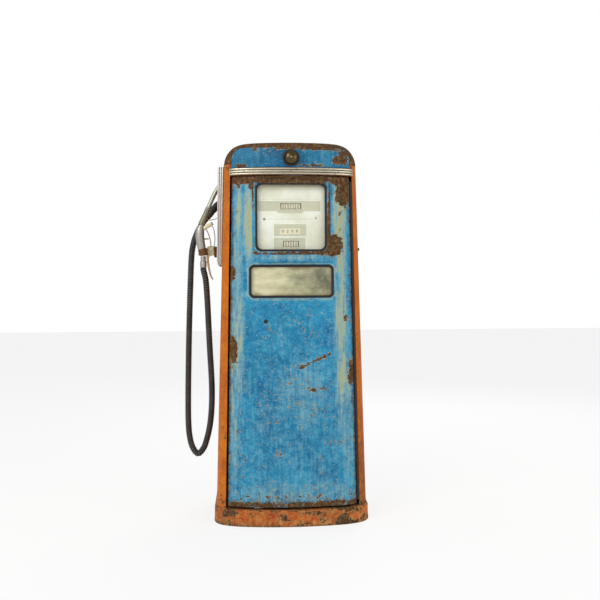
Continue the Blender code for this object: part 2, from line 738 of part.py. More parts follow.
def door_latch():
    """Cam behind the lock hole, hanging down when the door is free."""
    y = front_y(abs(LOCK_X) + 0.016, LOCK_Z + 0.016) + SHEET + SEAT
    item = turned("door_latch", [(0.016, 0.0), (0.016, 0.006), (0.008, 0.0065), (0.008, 0.030)],
                  (LOCK_X, y, LOCK_Z), (0, 1, 0), STEEL, 14)
    arm = box("tool", (LOCK_X - 0.011, y + 0.022, LOCK_Z - 0.095),
              (LOCK_X + 0.011, y + 0.0275, LOCK_Z + 0.011), STEEL)
    return boolean(item, [arm], "UNION")


def top_knob():
    face = upper_front_y(0, KNOB_Z - KNOB_RING) - FASCIA_OFF - SHEET
    turned("knob_ring", [(KNOB_RING, -SEAT), (KNOB_RING, -0.004), (KNOB_RING - 0.003, -0.006), (0.029, -0.006),
                         (0.0085, -0.003), (0.0085, -SEAT)],
           (0, face, KNOB_Z), (0, 1, 0), DARK, 18, looped=True)
    dome = [(0.0285, -0.0066), (KNOB_RADIUS, -0.010), (KNOB_RADIUS - 0.003, -0.018), (0.022, -0.026),
            (0.012, -0.030), (0.003, -0.031)]
    item = turned("top_knob", [(KNOB_SHAFT, 0.060), (KNOB_SHAFT, -0.0062)] + dome, (0, face, KNOB_Z), (0, 1, 0),
                  BRIGHT, 18)
    tongue = box("tool", (-0.009, face + 0.050, KNOB_Z - 0.009), (0.045, face + 0.055, KNOB_Z + 0.009), STEEL)
    return boolean(item, [tongue], "UNION")


def register():
    top = SHELF_Z + 0.004
    shelf = box("register_shelf", (-FRAME_X + SEAT, -0.150, SHELF_Z), (FRAME_X - SEAT, 0.160, top), STEEL)
    hole = turned("cut", [(DRIVE_SHAFT + 0.0006, SHELF_Z - 0.01), (DRIVE_SHAFT + 0.0006, SHELF_Z + 0.01)],
                  (0, 0.03, 0), (0, 0, 1), DARK, 12)
    boolean(shelf, [hole], "DIFFERENCE")
    # A folded cradle: floor, two cheeks and a back, with the two fixed arbors across it.
    path = [Vector((-0.152, DIAL_FACE_Y + DIAL_FACE_THICK + 0.0004)), Vector((-0.152, -0.060)),
            Vector((0.152, -0.060)), Vector((0.152, DIAL_FACE_Y + DIAL_FACE_THICK + 0.0004))]
    section = strip(path, 0.003)
    cradle = loft("register_frame", [[(p.x, p.y, z) for p in section] for z in (top + SEAT, REGISTER_TOP)], CAST)
    arbors = [turned("tool", [(ARBOR, -0.1535), (ARBOR, 0.1535)], (0, WHEEL_Y, z), (1, 0, 0), STEEL, 10)
              for z in (SALE_Z, VOLUME_Z)]
    boolean(cradle, arbors, "UNION")
    hub = [(0.0, SHELF_Z - 0.006), (0.0, 1.20)]
    turned("drive_shaft", [(DRIVE_SHAFT, z) for _, z in hub], (0, 0.03, 0), (0, 0, 1), STEEL, 12)


def wheels():
    for label, count, z in (("sale_wheel", 4, SALE_Z), ("volume_wheel", 3, VOLUME_Z)):
        for i in range(count):
            x = (i - (count - 1) / 2) * WHEEL_PITCH
            half = WHEEL_WIDTH / 2
            turned(f"{label}_{i + 1}", [(WHEEL_RADIUS, -half), (WHEEL_RADIUS, half), (ARBOR + 0.0004, half),
                                       (ARBOR + 0.0004, -half)],
                   (x, WHEEL_Y, z), (1, 0, 0), WHITE, 20, looped=True)


def dial_plate():
    low, high, half = 1.222, 1.5515, DIAL_FACE_HALF
    outline = [(-half, low), (half, low), (half, high), (-half, high)]
    holes = []
    for z, width in ((SALE_Z, 4 * WHEEL_PITCH), (VOLUME_Z, 3 * WHEEL_PITCH)):
        a, b = width / 2 + 0.002, 0.0135
        holes.append([(-a, z - b), (a, z - b), (a, z + b), (-a, z + b)])
    parts = []
    for y in (DIAL_FACE_Y, DIAL_FACE_Y + DIAL_FACE_THICK):
        parts.append(skin(outline, holes, [], lambda x, z, y=y: (x, y, z)))
    for loop in [outline] + holes:
        parts.append(bands([(x, DIAL_FACE_Y, z) for x, z in loop],
                           [(x, DIAL_FACE_Y + DIAL_FACE_THICK, z) for x, z in loop]))
    return gather("dial_plate", parts, WHITE)


def lamp():
    low = REGISTER_TOP + SEAT
    holder = box("lamp_holder", (-0.1545, -0.150, low), (0.1545, -0.100, low + 0.004), WHITE)
    ends = [box("tool", (x, -0.137, low + 0.002), (x + 0.006, -0.113, low + 0.036), WHITE) for x in (-0.148, 0.142)]
    boolean(holder, ends, "UNION")
    turned("lamp_tube", [(0.010, -0.1417), (0.010, 0.1417)], (0, -0.125, low + 0.020), (1, 0, 0), WHITE, 12)


def boot():
    """Pressed boot behind the side panel, open to the left; its lip lies on the panel's inside."""
    x = -BODY_HALF_WIDTH * shrink(BOOT_LOW) + SHEET + 0.0006
    tilt, mid = TAPER_PER_M * BODY_HALF_WIDTH, (BOOT_HIGH + BOOT_LOW) / 2
    rings = []
    for at, grow, leans in ((x + BOOT_DEEP + 0.002, 0.002, 0), (x + 0.002, 0.002, 1), (x + 0.002, 0.008, 1),
                            (x, 0.008, 1), (x, 0.0, 1), (x + BOOT_DEEP, 0.0, 0)):
        a, b = BOOT_HALF - 0.002 + grow, (BOOT_HIGH - BOOT_LOW) / 2 - 0.002 + grow
        around = [(NOZZLE_Y + sy * a, mid + sz * b) for sy, sz in ((1, -1), (1, 1), (-1, 1), (-1, -1))]
        rings.append([(at + tilt * (z - BOOT_LOW) * leans, y, z) for y, z in around])
    return loft("nozzle_pocket", rings, DARK)


def delivery():
    wall = -BODY_HALF_WIDTH
    x = -BODY_HALF_WIDTH * shrink(OUTLET_Z)
    elbow = smooth_line([(x + 0.0483, OUTLET_Y, OUTLET_Z), (x - 0.010, OUTLET_Y, OUTLET_Z),
                         (x - 0.035, OUTLET_Y, OUTLET_Z - 0.012), (x - 0.0545, OUTLET_Y - 0.004, OUTLET_Z - 0.038)], 4)
    rod("hose_outlet", elbow, 0.0170, CAST, 12)
    start = elbow[-1]
    along = (elbow[-1] - elbow[-2]).normalized()
    route = [start + along * 0.0017, start + along * 0.022]
    route += [(wall - out, y, z) for out, y, z in (
        (0.056, 0.057, 1.392), (0.080, 0.055, 1.357), (0.096, 0.053, 1.323), (0.108, 0.051, 1.285),
        (0.118, 0.049, 1.22), (0.1255, 0.046, 1.05), (0.1315, 0.043, 0.87), (0.1355, 0.040, 0.70),
        (0.138, 0.036, 0.54), (0.1375, 0.032, 0.44), (0.1325, 0.027, 0.372), (0.1185, 0.020, 0.3175),
        (0.092, 0.012, 0.2863), (0.065, 0.006, 0.3135), (0.0505, 0.002, 0.352), (0.038, -0.003, 0.402),
        (0.029, -0.007, 0.46), (0.0235, -0.010, 0.543), (0.024, -0.013, 0.64), (0.031, -0.015, 0.78),
        (0.0355, -0.015, 0.88), (0.041, -0.015, 1.01), (0.0475, -0.015, 1.105),
        (SWIVEL_OUT - 0.001, NOZZLE_Y, SWIVEL_BOTTOM - 0.012), (SWIVEL_OUT, NOZZLE_Y, SWIVEL_BOTTOM - 0.0009))]
    cord("hose", smooth_line(route, 2), HOSE_RADIUS, DARK)


def nozzle():
    wall = -BODY_HALF_WIDTH
    top, crest = wall - NOZZLE_TOP[0], NOZZLE_TOP[1]

    def line(*stations):
        return [(wall - out, NOZZLE_Y, z) for out, z in stations]

    turned("hose_swivel", [(SWIVEL_RADIUS - 0.003, 0.0), (SWIVEL_RADIUS, 0.004), (SWIVEL_RADIUS, 0.030),
                           (SWIVEL_RADIUS - 0.003, 0.033), (SWIVEL_RADIUS - 0.003, 0.055)],
           (wall - SWIVEL_OUT, NOZZLE_Y, SWIVEL_BOTTOM), (0, 0, 1), SILVER, 14)
    spine = line((SWIVEL_OUT, SWIVEL_BOTTOM + 0.0554), (SWIVEL_OUT, 1.229), (0.0598, 1.246), (0.0645, 1.256),
                 (0.0700, 1.280), (0.0738, 1.308), (0.0740, 1.335), (0.0700, 1.351),
                 (NOZZLE_TOP[0], 1.360), (NOZZLE_TOP[0], crest - 0.0006))
    item = rod("nozzle_body", spine, [0.0180, 0.0215, 0.0215, 0.0190, 0.0195, 0.0205, 0.0205, 0.0185,
                                       0.0160, 0.0135], SILVER, 14)
    bore = turned("cut", [(0.0044, -0.004), (0.0044, 0.040)], (wall - 0.072, NOZZLE_Y, STEM_Z), (1, 0, 0), DARK, 12)
    boolean(item, [bore], "DIFFERENCE")
    spout = smooth_line([(top, NOZZLE_Y, crest + 0.010)] + line((0.0560, 1.395), (0.0277, 1.4605), (0.0064, 1.507),
                                                               (-0.022, 1.552), (-0.062, 1.577)), 2)
    rod("nozzle_spout", [(top, NOZZLE_Y, crest + 0.0003)] + spout, 0.0110, STEEL, 10)
    guard = smooth_line(line((0.0516, 1.3625), (0.030, 1.370), (0.010, 1.350), (0.004, 1.305), (0.008, 1.262),
                             (0.021, 1.2445), (0.0377, 1.243)), 3)
    rod("nozzle_guard", guard, 0.0035, SILVER, 8)
    out, pivot = LEVER_PIVOT
    lever = smooth_line(line((out, pivot - 0.004), (out - 0.012, pivot - 0.022), (0.0270, STEM_Z),
                             (0.0235, 1.280), (0.0235, 1.262)), 3)
    rod("nozzle_lever", lever, 0.0036, SILVER, 8)
    turned("valve_stem", [(0.0040, -0.0650), (0.0040, -0.0320)], (wall, NOZZLE_Y, STEM_Z), (1, 0, 0), STEEL, 12)


def nozzle_hook():
    x = -BODY_HALF_WIDTH * shrink(1.39) - 0.0006
    y0, y1 = 0.006, 0.012
    line = [(x, 1.376), (x, 1.404), (x - 0.060, 1.394), (x - 0.076, 1.402), (x - 0.080, 1.399), (x - 0.064, 1.384)]
    return loft("nozzle_hook", [[(a, y, z) for a, z in line] for y in (y0, y1)], STEEL)


def switch_gear():
    skin_x = -BODY_HALF_WIDTH * shrink(SWITCH_Z)
    box("motor_switch", (skin_x + 0.0040, SWITCH_Y - 0.040, SWITCH_Z - 0.055),
        (-FRAME_X - 0.0060, SWITCH_Y + 0.040, SWITCH_Z + 0.055), GREY)
    # Shaft, boss, hand block and curled tail outside the panel.
    wall = -BODY_HALF_WIDTH
    boss = skin_x - 0.0009
    item = turned("switch_lever", [(0.0075, skin_x + 0.0034), (0.0075, boss), (0.026, boss), (0.026, wall - 0.009),
                                   (0.0075, wall - 0.0095), (0.0075, wall - 0.030)],
                  (0, SWITCH_Y, SWITCH_Z), (1, 0, 0), CREAM, 16)
    outline = ((0.008, 0.028), (0.038, 0.0265), (0.044, 0.018), (0.046, -0.010), (0.046, -0.030), (0.036, -0.031),
               (0.020, -0.018), (0.008, -0.010))
    block = loft("tool", [[(wall - out, SWITCH_Y + side, SWITCH_Z + up) for out, up in outline]
                          for side in (-0.010, 0.010)], CREAM)
    curl = ((0.0400, -0.026), (0.0385, -0.050), (0.0345, -0.078), (0.0285, -0.105), (0.0225, -0.121), (0.0150, -0.128))
    tail = rod("tool", smooth_line([(wall - out, SWITCH_Y, SWITCH_Z + up) for out, up in curl], 2),
               [0.0080, 0.0080, 0.0075, 0.0070, 0.0068, 0.0060, 0.0055, 0.0048, 0.0042, 0.0038, 0.0034], CREAM, 8)
    return boolean(item, [block, tail], "UNION")


def crank():
    x = BODY_HALF_WIDTH * shrink(CRANK_Z) + 0.0009
    tip = BODY_HALF_WIDTH * shrink(CRANK_Z - CRANK_THROW) + 0.0085
    item = turned("reset_crank", [(0.006, 0.1556), (0.006, x), (0.012, x), (0.012, x + 0.003), (0.009, x + 0.005),
                                  (0.009, tip)], (0, CRANK_Y, CRANK_Z), (1, 0, 0), STEEL, 12)
    arm = box("tool", (tip - 0.006, CRANK_Y - 0.007, CRANK_Z - CRANK_THROW - 0.008),
              (tip - 0.001, CRANK_Y + 0.007, CRANK_Z + 0.006), STEEL)
    low = (0, CRANK_Y, CRANK_Z - CRANK_THROW)
    pin = turned("tool", [(0.003, tip - 0.003), (0.003, tip + 0.0036)], low, (1, 0, 0), STEEL, 10)
    boolean(item, [arm, pin], "UNION")
    turned("crank_grip", [(0.0034, tip - 0.0006), (0.0065, tip - 0.0006), (0.0075, tip + 0.006), (0.0062, tip + 0.0105),
                          (0.0010, tip + 0.0110), (0.0010, tip + 0.0042), (0.0034, tip + 0.0040)],
           low, (1, 0, 0), DARK, 12, looped=True)


def pulley(name, centre, radius, bore):
    x, z = centre
    half = PULLEY_WIDTH / 2
    return turned(name, [(bore, -half), (radius, -half), (radius, -half + 0.003), (radius - 0.010, -0.003),
                         (radius - 0.010, 0.003), (radius, half - 0.003), (radius, half), (bore, half)],
                  (x, PULLEY_Y, z), (0, 1, 0), CAST, 20, looped=True)


def drive():
    floor = PLINTH_HEIGHT + BED_THICK + 0.0005
    x, z = MOTOR
    stub = PULLEY_Y - PULLEY_WIDTH / 2
    item = turned("motor_body", [(0.008, stub), (0.008, -0.062), (0.050, -0.061), (MOTOR_RADIUS, -0.045),
                                 (MOTOR_RADIUS, 0.120), (0.055, 0.135)], (x, 0, z), (0, 1, 0), GREY, 20)
    boolean(item, [box("tool", (x - 0.065, -0.030, floor), (x + 0.065, 0.105, z - 0.05), GREY)], "UNION")
    px, pz = PUMP
    item = turned("pump_unit", [(0.010, stub), (0.010, -0.058), (0.040, -0.057), (0.062, -0.045), (0.062, 0.030),
                                (0.085, 0.032), (0.085, 0.060)], (px, 0, pz), (0, 1, 0), CAST, 20)
    foot = box("tool", (px - 0.055, -0.035, floor), (px + 0.055, 0.025, pz - 0.03), CAST)
    neck = box("tool", (px - 0.030, 0.020, pz + 0.04), (px + 0.030, 0.056, pz + 0.150), CAST)
    boolean(item, [foot, neck], "UNION")
    pulley("motor_pulley", MOTOR, MOTOR_PULLEY, 0.0085)
    pulley("pump_pulley", PUMP, PUMP_PULLEY, 0.0105)
    belt()
    rod("inlet_pipe", [(INLET_X, INLET_Y, 0.001), (INLET_X, INLET_Y, 0.165), (INLET_X, INLET_Y - 0.004, 0.190),
                       (INLET_X, INLET_Y - 0.015, 0.208), (INLET_X, INLET_Y - 0.030, 0.215),
                       (INLET_X, 0.0606, 0.215)], 0.020, STEEL, 12, (1, 0, 0))
    top = SHELF_Z - 0.0004
    rod("outlet_pipe", [(px, 0.036, pz + 0.1504), (px, 0.036, 0.710), (px + 0.012, 0.035, 0.745),
                        (px + 0.040, 0.034, 0.764), (-0.0319, 0.034, 0.764)], 0.017, STEEL, 12, (1, 0, 0))
    meter = turned("meter_body", [(0.030, 0.700), (0.075, 0.715), (0.078, 0.850), (0.110, 0.853), (0.110, 0.868),
                                  (0.060, 0.872), (0.060, top)], (0.045, 0.03, 0), (0, 0, 1), CAST, 20)
    well = turned("cut", [(DRIVE_SHAFT + 0.0006, SHELF_Z - 0.012), (DRIVE_SHAFT + 0.0006, SHELF_Z + 0.02)],
                  (0, 0.03, 0), (0, 0, 1), DARK, 12)
    boolean(meter, [well], "DIFFERENCE")
    box("conduit_box", (0.110, 0.150, floor), (0.200, 0.175, 0.24), GREY)


def belt():
    """V-belt lying in both pulley grooves, as one closed loop."""
    (x0, z0), (x1, z1) = PUMP, MOTOR
    r0, r1 = PUMP_PULLEY - 0.0095, MOTOR_PULLEY - 0.0095
    span = math.hypot(x1 - x0, z1 - z0)
    base = math.atan2(z1 - z0, x1 - x0)
    lean = math.acos((r0 - r1) / span)
    line = []
    for i in range(15):
        t = base + lean + (2 * math.pi - 2 * lean) * i / 14
        line.append((x0, z0, r0, t))
    for i in range(9):
        t = base - lean + 2 * lean * i / 8
        line.append((x1, z1, r1, t))
    rings = []
    for x, z, r, t in line:
        ring = []
        for grow, y in ((0.0006, -0.0022), (0.0006, 0.0022), (0.0085, 0.0060), (0.0085, -0.0060)):
            ring.append((x + (r + grow) * math.cos(t), PULLEY_Y + y, z + (r + grow) * math.sin(t)))
        rings.append(ring)
    return loft("drive_belt", rings, DARK, looped=True)


def build():
    clear_scene()
    plinth()
    bed_plate()
    ladder("frame_left", -1)
    ladder("frame_right", 1)
    side_panels()
    rear_panel()
    header_rail()
    hood()
    fascia()
    front_trim()
    side_trim()
    front_door()
    window_set("dial_gasket", "dial_glass", DIAL_OPENING, DIAL_DEPTH, GLASS)
    window_set("ad_gasket", "ad_glass", AD_OPENING, AD_DEPTH, MILKY)
    door_hinge()
    door_latch()
    top_knob()
    register()
    wheels()
    dial_plate()
    lamp()
    boot()
    delivery()
    nozzle()
    nozzle_hook()
    switch_gear()
    crank()
    drive()


build()
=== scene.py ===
import math
import random

import bmesh
import bpy
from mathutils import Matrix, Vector, noise
from mathutils.geometry import delaunay_2d_cdt


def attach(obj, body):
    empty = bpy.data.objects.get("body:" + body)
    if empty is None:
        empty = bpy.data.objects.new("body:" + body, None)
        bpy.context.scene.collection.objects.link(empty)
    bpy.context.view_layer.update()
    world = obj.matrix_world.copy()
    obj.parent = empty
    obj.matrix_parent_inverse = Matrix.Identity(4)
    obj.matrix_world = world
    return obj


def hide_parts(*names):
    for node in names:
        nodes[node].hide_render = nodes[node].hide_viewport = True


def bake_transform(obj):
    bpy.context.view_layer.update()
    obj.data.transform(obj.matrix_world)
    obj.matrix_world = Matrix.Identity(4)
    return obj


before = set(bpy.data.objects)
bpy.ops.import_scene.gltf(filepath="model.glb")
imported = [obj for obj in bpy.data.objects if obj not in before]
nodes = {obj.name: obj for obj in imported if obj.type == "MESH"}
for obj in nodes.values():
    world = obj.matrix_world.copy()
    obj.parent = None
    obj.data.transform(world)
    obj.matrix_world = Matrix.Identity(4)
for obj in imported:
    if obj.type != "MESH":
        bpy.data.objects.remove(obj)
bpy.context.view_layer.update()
print("frame loaded:", len(nodes), "nodes")

# camera, floor and light
view = {"place": (-0.188, -3.885, 1.11), "yaw": 3.506, "pitch": -1.433, "roll": 0.26, "lens": 49.2}


def addObject(name, data):
    made = bpy.data.objects.new(name, data)
    bpy.context.scene.collection.objects.link(made)
    return made


def baked(made):
    # the plain mesh an object's modifiers give
    bpy.context.view_layer.update()
    return bpy.data.meshes.new_from_object(made.evaluated_get(bpy.context.evaluated_depsgraph_get()))


def makeCamera():
    camera = addObject("camera", bpy.data.cameras.new("camera"))
    camera.location = view["place"]
    camera.rotation_euler = [math.radians(turn) for turn in (90 + view["pitch"], view["roll"], -view["yaw"])]
    camera.data.lens, camera.data.sensor_width = view["lens"], 36
    bpy.context.scene.camera = camera


def toLinear(code):
    parts = [int(code[i:i + 2], 16) / 255 for i in (1, 3, 5)]
    return tuple(p / 12.92 if p <= 0.04045 else ((p + 0.055) / 1.055) ** 2.4 for p in parts) + (1.0,)


def feed(node, inputs):
    # an input takes a constant, a socket, or a node for its first live output
    for key, value in inputs.items():
        if isinstance(value, bpy.types.Node):
            value = next(out for out in value.outputs if out.enabled)
        if isinstance(value, bpy.types.NodeSocket):
            node.id_data.links.new(value, node.inputs[key])
        else:
            node.inputs[key].default_value = value


usualSettings = {"Math": {"operation": "MULTIPLY_ADD"}, "Mix": {"data_type": "RGBA"}}


def addNode(tree, kind, inputs=(), **settings):
    node = tree.nodes.new(kind if kind.startswith(("Geometry", "Function")) else "ShaderNode" + kind)
    for name, value in {**usualSettings.get(kind, {}), **settings}.items():
        setattr(node, name, value)
    feed(node, dict(inputs))
    return node


def newLook(name):
    look = bpy.data.materials.new(name)
    look.use_nodes = True
    tree = look.node_tree
    return look, tree, tree.nodes["Principled BSDF"], addNode(tree, "TexCoord").outputs["Object"]


def studioMaterial(name, colour, sight):
    # plain paper sweep: white to the eye and in reflections, mid grey as a bounce
    look, tree, shader, _ = newLook(name)
    tree.nodes.remove(shader)
    path = addNode(tree, "LightPath").outputs
    seen = addNode(tree, "Math", {0: path["Is Camera Ray"], 1: path["Is Glossy Ray"]}, operation="MAXIMUM")
    seen = addNode(tree, "Math", {0: seen, 1: path["Is Transmission Ray"]}, operation="MAXIMUM")
    share = addNode(tree, "Math", {0: seen, 1: sight}, operation="MULTIPLY")
    paper = addNode(tree, "BsdfDiffuse", {"Color": toLinear(colour)})
    glow = addNode(tree, "Emission", {"Color": (1, 1, 1, 1), "Strength": 1.0})
    feed(tree.nodes["Material Output"], {"Surface": addNode(tree, "MixShader", {0: share, 1: paper, 2: glow})})
    return look


def makeStudio():
    reach = 14.0
    mesh = bpy.data.meshes.new("studioFloor")
    mesh.from_pydata([(-reach, -reach, 0), (reach, -reach, 0), (reach, reach, 0), (-reach, reach, 0)], [],
                     [(0, 1, 2, 3)])
    mesh.materials.append(studioMaterial("paperSweep", "#f0f0ee", 0.78))
    floor = addObject("studioFloor", mesh)
    world = bpy.data.worlds.new("studio")
    bpy.context.scene.world = world
    world.use_nodes = True
    tree = world.node_tree
    tree.nodes.clear()
    soft, white = (addNode(tree, "Background", {"Color": (1, 1, 1, 1), "Strength": power}) for power in (0.62, 1.0))
    seen = addNode(tree, "LightPath").outputs["Is Camera Ray"]
    mix = addNode(tree, "MixShader", {0: seen, 1: soft, 2: white})
    addNode(tree, "OutputWorld", {"Surface": mix})
    for name, place, aim, size, power in (("key", (-2.6, -3.4, 3.4), (0, 0, 0.9), 2.6, 95),
                                          ("fill", (3.0, -2.6, 2.0), (0, 0, 0.8), 2.6, 32),
                                          ("back", (1.5, 3.2, 3.0), (0, 0, 1.0), 2.4, 55)):
        lamp = addObject(name, bpy.data.lights.new(name, "AREA"))
        lamp.location = place
        lamp.rotation_euler = (Vector(aim) - Vector(place)).to_track_quat("-Z", "Y").to_euler()
        lamp.data.size, lamp.data.energy = size, power
    bpy.context.scene.view_settings.view_transform = "Standard"


# shared shape helpers
# the cabinet's plan: bowed front, eased edges, round corners, all drawn in towards the top
cabinet = {
    "halfWidth": 0.346, "front": 0.232, "back": 0.228, "foot": 0.0755, "seam": 1.6325, "height": 1.73,
    "taper": 0.08, "bow": 1.2, "edgeRadius": 0.3, "edgeStart": 0.22, "cornerStart": 0.297,
    "rearCorner": 0.045, "sheet": 0.002,
}
halfWidth = cabinet["halfWidth"]


def shrink(z):
    return 1 - cabinet["taper"] * (z - cabinet["foot"])


def cornerArc():
    c = cabinet
    run = c["cornerStart"] - c["edgeStart"]
    angle = math.atan(c["cornerStart"] / c["bow"] + run / c["edgeRadius"])
    radius = (halfWidth - c["cornerStart"]) / (1 - math.sin(angle))
    y = -c["front"] + c["cornerStart"] ** 2 / (2 * c["bow"]) + run ** 2 / (2 * c["edgeRadius"])
    return angle, radius, halfWidth - radius, y + radius * math.cos(angle)


def bow(x):
    c, x = cabinet, abs(x)
    if x <= c["cornerStart"]:
        over = max(0.0, x - c["edgeStart"])
        return -c["front"] + x * x / (2 * c["bow"]) + over * over / (2 * c["edgeRadius"])
    _, radius, cx, cy = cornerArc()
    return cy - math.sqrt(max(0.0, radius ** 2 - (x - cx) ** 2))


def frontY(x, z):
    return shrink(z) * bow(x / shrink(z))


def halfPlan(frontSteps, cornerSteps, rearSteps, backSteps):
    # right half of the plan from front centre to rear centre, with outward normals
    c = cabinet
    angle, radius, cx, cy = cornerArc()
    line = []
    for i in range(frontSteps):
        x = c["cornerStart"] * i / frontSteps
        slope = x / c["bow"] + max(0.0, x - c["edgeStart"]) / c["edgeRadius"]
        line.append((Vector((x, bow(x))), Vector((slope, -1)).normalized()))
    for i in range(cornerSteps + 1):
        t = angle + (math.pi / 2 - angle) * i / cornerSteps
        out = Vector((math.sin(t), -math.cos(t)))
        line.append((Vector((cx, cy)) + radius * out, out))
    first, last = line[-1][0].y, c["back"] - c["rearCorner"]
    for i in range(1, 12):
        line.append((Vector((halfWidth, first + (last - first) * i / 12)), Vector((1, 0))))
    middle = Vector((halfWidth - c["rearCorner"], last))
    for i in range(rearSteps + 1):
        t = math.pi / 2 * i / rearSteps
        out = Vector((math.cos(t), math.sin(t)))
        line.append((middle + c["rearCorner"] * out, out))
    for i in range(1, backSteps + 1):
        line.append((Vector((middle.x * (1 - i / backSteps), c["back"])), Vector((0, 1))))
    return line


def planRing(half, z, offset=0.0):
    k = shrink(z)
    right = [p + n * offset for p, n in half]
    return [(p.x * k, p.y * k, z) for p in right] + [(-p.x * k, p.y * k, z) for p in right[-2:0:-1]]


def arc(cx, cy, radius, start, end, steps):
    # points along an arc with both its ends, angles in degrees
    turns = [math.radians(start + (end - start) * i / steps) for i in range(steps + 1)]
    return [(cx + radius * math.cos(t), cy + radius * math.sin(t)) for t in turns]


def straight(a, b, steps):
    # points from a up to, but not including, b
    return [tuple(p + (q - p) * i / steps for p, q in zip(a, b)) for i in range(steps)]


def quarter(radius, steps):
    # how far in and how deep a rolled edge stands at each step of its quarter turn
    turns = [math.pi / 2 * i / steps for i in range(steps + 1)]
    return [(radius * (1 - math.cos(t)), radius * (1 - math.sin(t))) for t in turns]


def rounded(cx, cz, width, height, radius, grow=0.0):
    a, b, r = width / 2 - radius, height / 2 - radius, radius + grow
    return [p for sx, sz, start in ((1, 1, 0), (-1, 1, 90), (-1, -1, 180), (1, -1, 270))
            for p in arc(cx + sx * a, cz + sz * b, r, start, start + 90, 6)]


def circle(cx, cz, radius, sides=24):
    return arc(cx, cz, radius, 0, 360, sides)[:-1]


def lay(loop, place, *depth):
    return [place(*p, *depth) for p in loop]


def inside(point, loop):
    x, z = point
    hit = False
    for (x0, z0), (x1, z1) in zip(loop, loop[1:] + loop[:1]):
        if (z0 > z) != (z1 > z) and x < (x1 - x0) * (z - z0) / (z1 - z0) + x0:
            hit = not hit
    return hit


def bands(*loops):
    count = len(loops[0])
    points = [p for loop in loops for p in loop]
    faces = []
    for n in range(len(loops) - 1):
        low, high = n * count, (n + 1) * count
        faces += [(low + i, low + (i + 1) % count, high + (i + 1) % count, high + i) for i in range(count)]
    return points, faces


def skin(outline, holes, spacing, lift):
    # triangles over an outline with holes, on a regular grid, lifted to 3-D
    points, edges, cells = [], [], {}
    for loop in [outline] + holes:
        start = len(points)
        points += loop
        edges += [(start + i, start + (i + 1) % len(loop)) for i in range(len(loop))]

    def cell(p):
        return round(p[0] / spacing), round(p[1] / spacing)

    def within(p):
        return inside(p, outline) and not any(inside(p, hole) for hole in holes)
    for p in points:
        cells.setdefault(cell(p), []).append(p)
    left, low = (min(p[axis] for p in outline) for axis in (0, 1))
    columns, rows = (int((max(p[axis] for p in outline) - least) / spacing) + 2
                     for axis, least in ((0, left), (1, low)))
    for i in range(columns):
        for j in range(rows):
            p = (left + (i + 0.5 * (j % 2)) * spacing, low + j * spacing)
            a, b = cell(p)
            close = any(math.dist(p, q) < spacing * 0.35 for u in (a - 1, a, a + 1) for v in (b - 1, b, b + 1)
                        for q in cells.get((u, v), ()))
            if not close and within(p):
                points.append(p)
    flat, _, made = delaunay_2d_cdt([Vector(p) for p in points], edges, [], 0, 1e-7)[:3]
    faces = []
    for face in made:
        a, b, c = (flat[i] for i in face)
        if abs((b - a).cross(c - a)) > 1e-9 and within((a + b + c) / 3):
            faces.append(tuple(face))
    return [lift(p.x, p.y) for p in flat], faces


def plate(outline, holes, place, near, far, grids):
    # a plate between two depths: both faces and every rim
    parts = [skin(outline, holes, grid, lambda x, z, deep=deep: place(x, z, deep))
             for grid, deep in zip(grids, (near, far))]
    return parts + [bands(lay(loop, place, near), lay(loop, place, far)) for loop in [outline] + holes]


def makePiece(name, parts, look, body, stands=(), sharp=40):
    # one closed mesh from welded point and face lists, riding on its body
    tool = bmesh.new()
    for points, faces in parts:
        corners = [tool.verts.new(p) for p in points]
        for face in faces:
            tool.faces.new([corners[i] for i in face])
    bmesh.ops.remove_doubles(tool, verts=tool.verts, dist=2e-6)
    bmesh.ops.delete(tool, geom=[v for v in tool.verts if not v.link_faces], context="VERTS")
    bmesh.ops.dissolve_degenerate(tool, dist=1e-7, edges=tool.edges)
    bmesh.ops.recalc_face_normals(tool, faces=tool.faces)
    mesh = bpy.data.meshes.new(name)
    tool.to_mesh(mesh)
    tool.free()
    mesh.materials.append(looks[look])
    mesh.shade_smooth()
    mesh.set_sharp_from_angle(angle=math.radians(sharp))
    piece = addObject(name, mesh)
    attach(piece, body)
    if stands:
        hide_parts(*stands)
    return piece


def loft(rings, looped=False):
    points, faces = bands(*rings, *(rings[:1] if looped else ()))
    if not looped:
        count = len(rings[0])
        faces += [tuple(range(count)), tuple(range((len(rings) - 1) * count, len(rings) * count))]
    return points, faces


def turned(profile, centre, axis=(0, 0, 1), sides=32, looped=False):
    turn = Vector((0, 0, 1)).rotation_difference(Vector(axis)).to_matrix()
    half = 180 / sides
    return loft([[Vector(centre) + turn @ Vector((*spot, height))
                  for spot in arc(0, 0, radius, half, 360 + half, sides)[:-1]] for radius, height in profile], looped)


def smoothLine(points, steps):
    route = [Vector(p) for p in points]
    route = [2 * route[0] - route[1]] + route + [2 * route[-1] - route[-2]]
    line = []
    for a, b, c, d in zip(route, route[1:], route[2:], route[3:]):
        for i in range(steps):
            t = i / steps
            line.append(0.5 * (2 * b + (c - a) * t + (2 * a - 5 * b + 4 * c - d) * t * t
                               + (3 * b - a - 3 * c + d) * t ** 3))
    line.append(route[-2])
    return line


def rod(line, radii, sides=20, flat=1.0):
    # a bar along a line; flat below 1 thins its section, measured along y at the start
    line, across, rings = [Vector(p) for p in line], Vector((0, 1, 0)), []
    radii = radii if isinstance(radii, (list, tuple)) else [radii] * len(line)
    for i, (point, radius) in enumerate(zip(line, radii)):
        along = (line[min(i + 1, len(line) - 1)] - line[max(i - 1, 0)]).normalized()
        across = (across - along * across.dot(along)).normalized()
        other, half = along.cross(across), 180 / sides
        rings.append([point + x * across + flat * y * other
                      for x, y in arc(0, 0, radius, half, 360 + half, sides)[:-1]])
    return loft(rings)


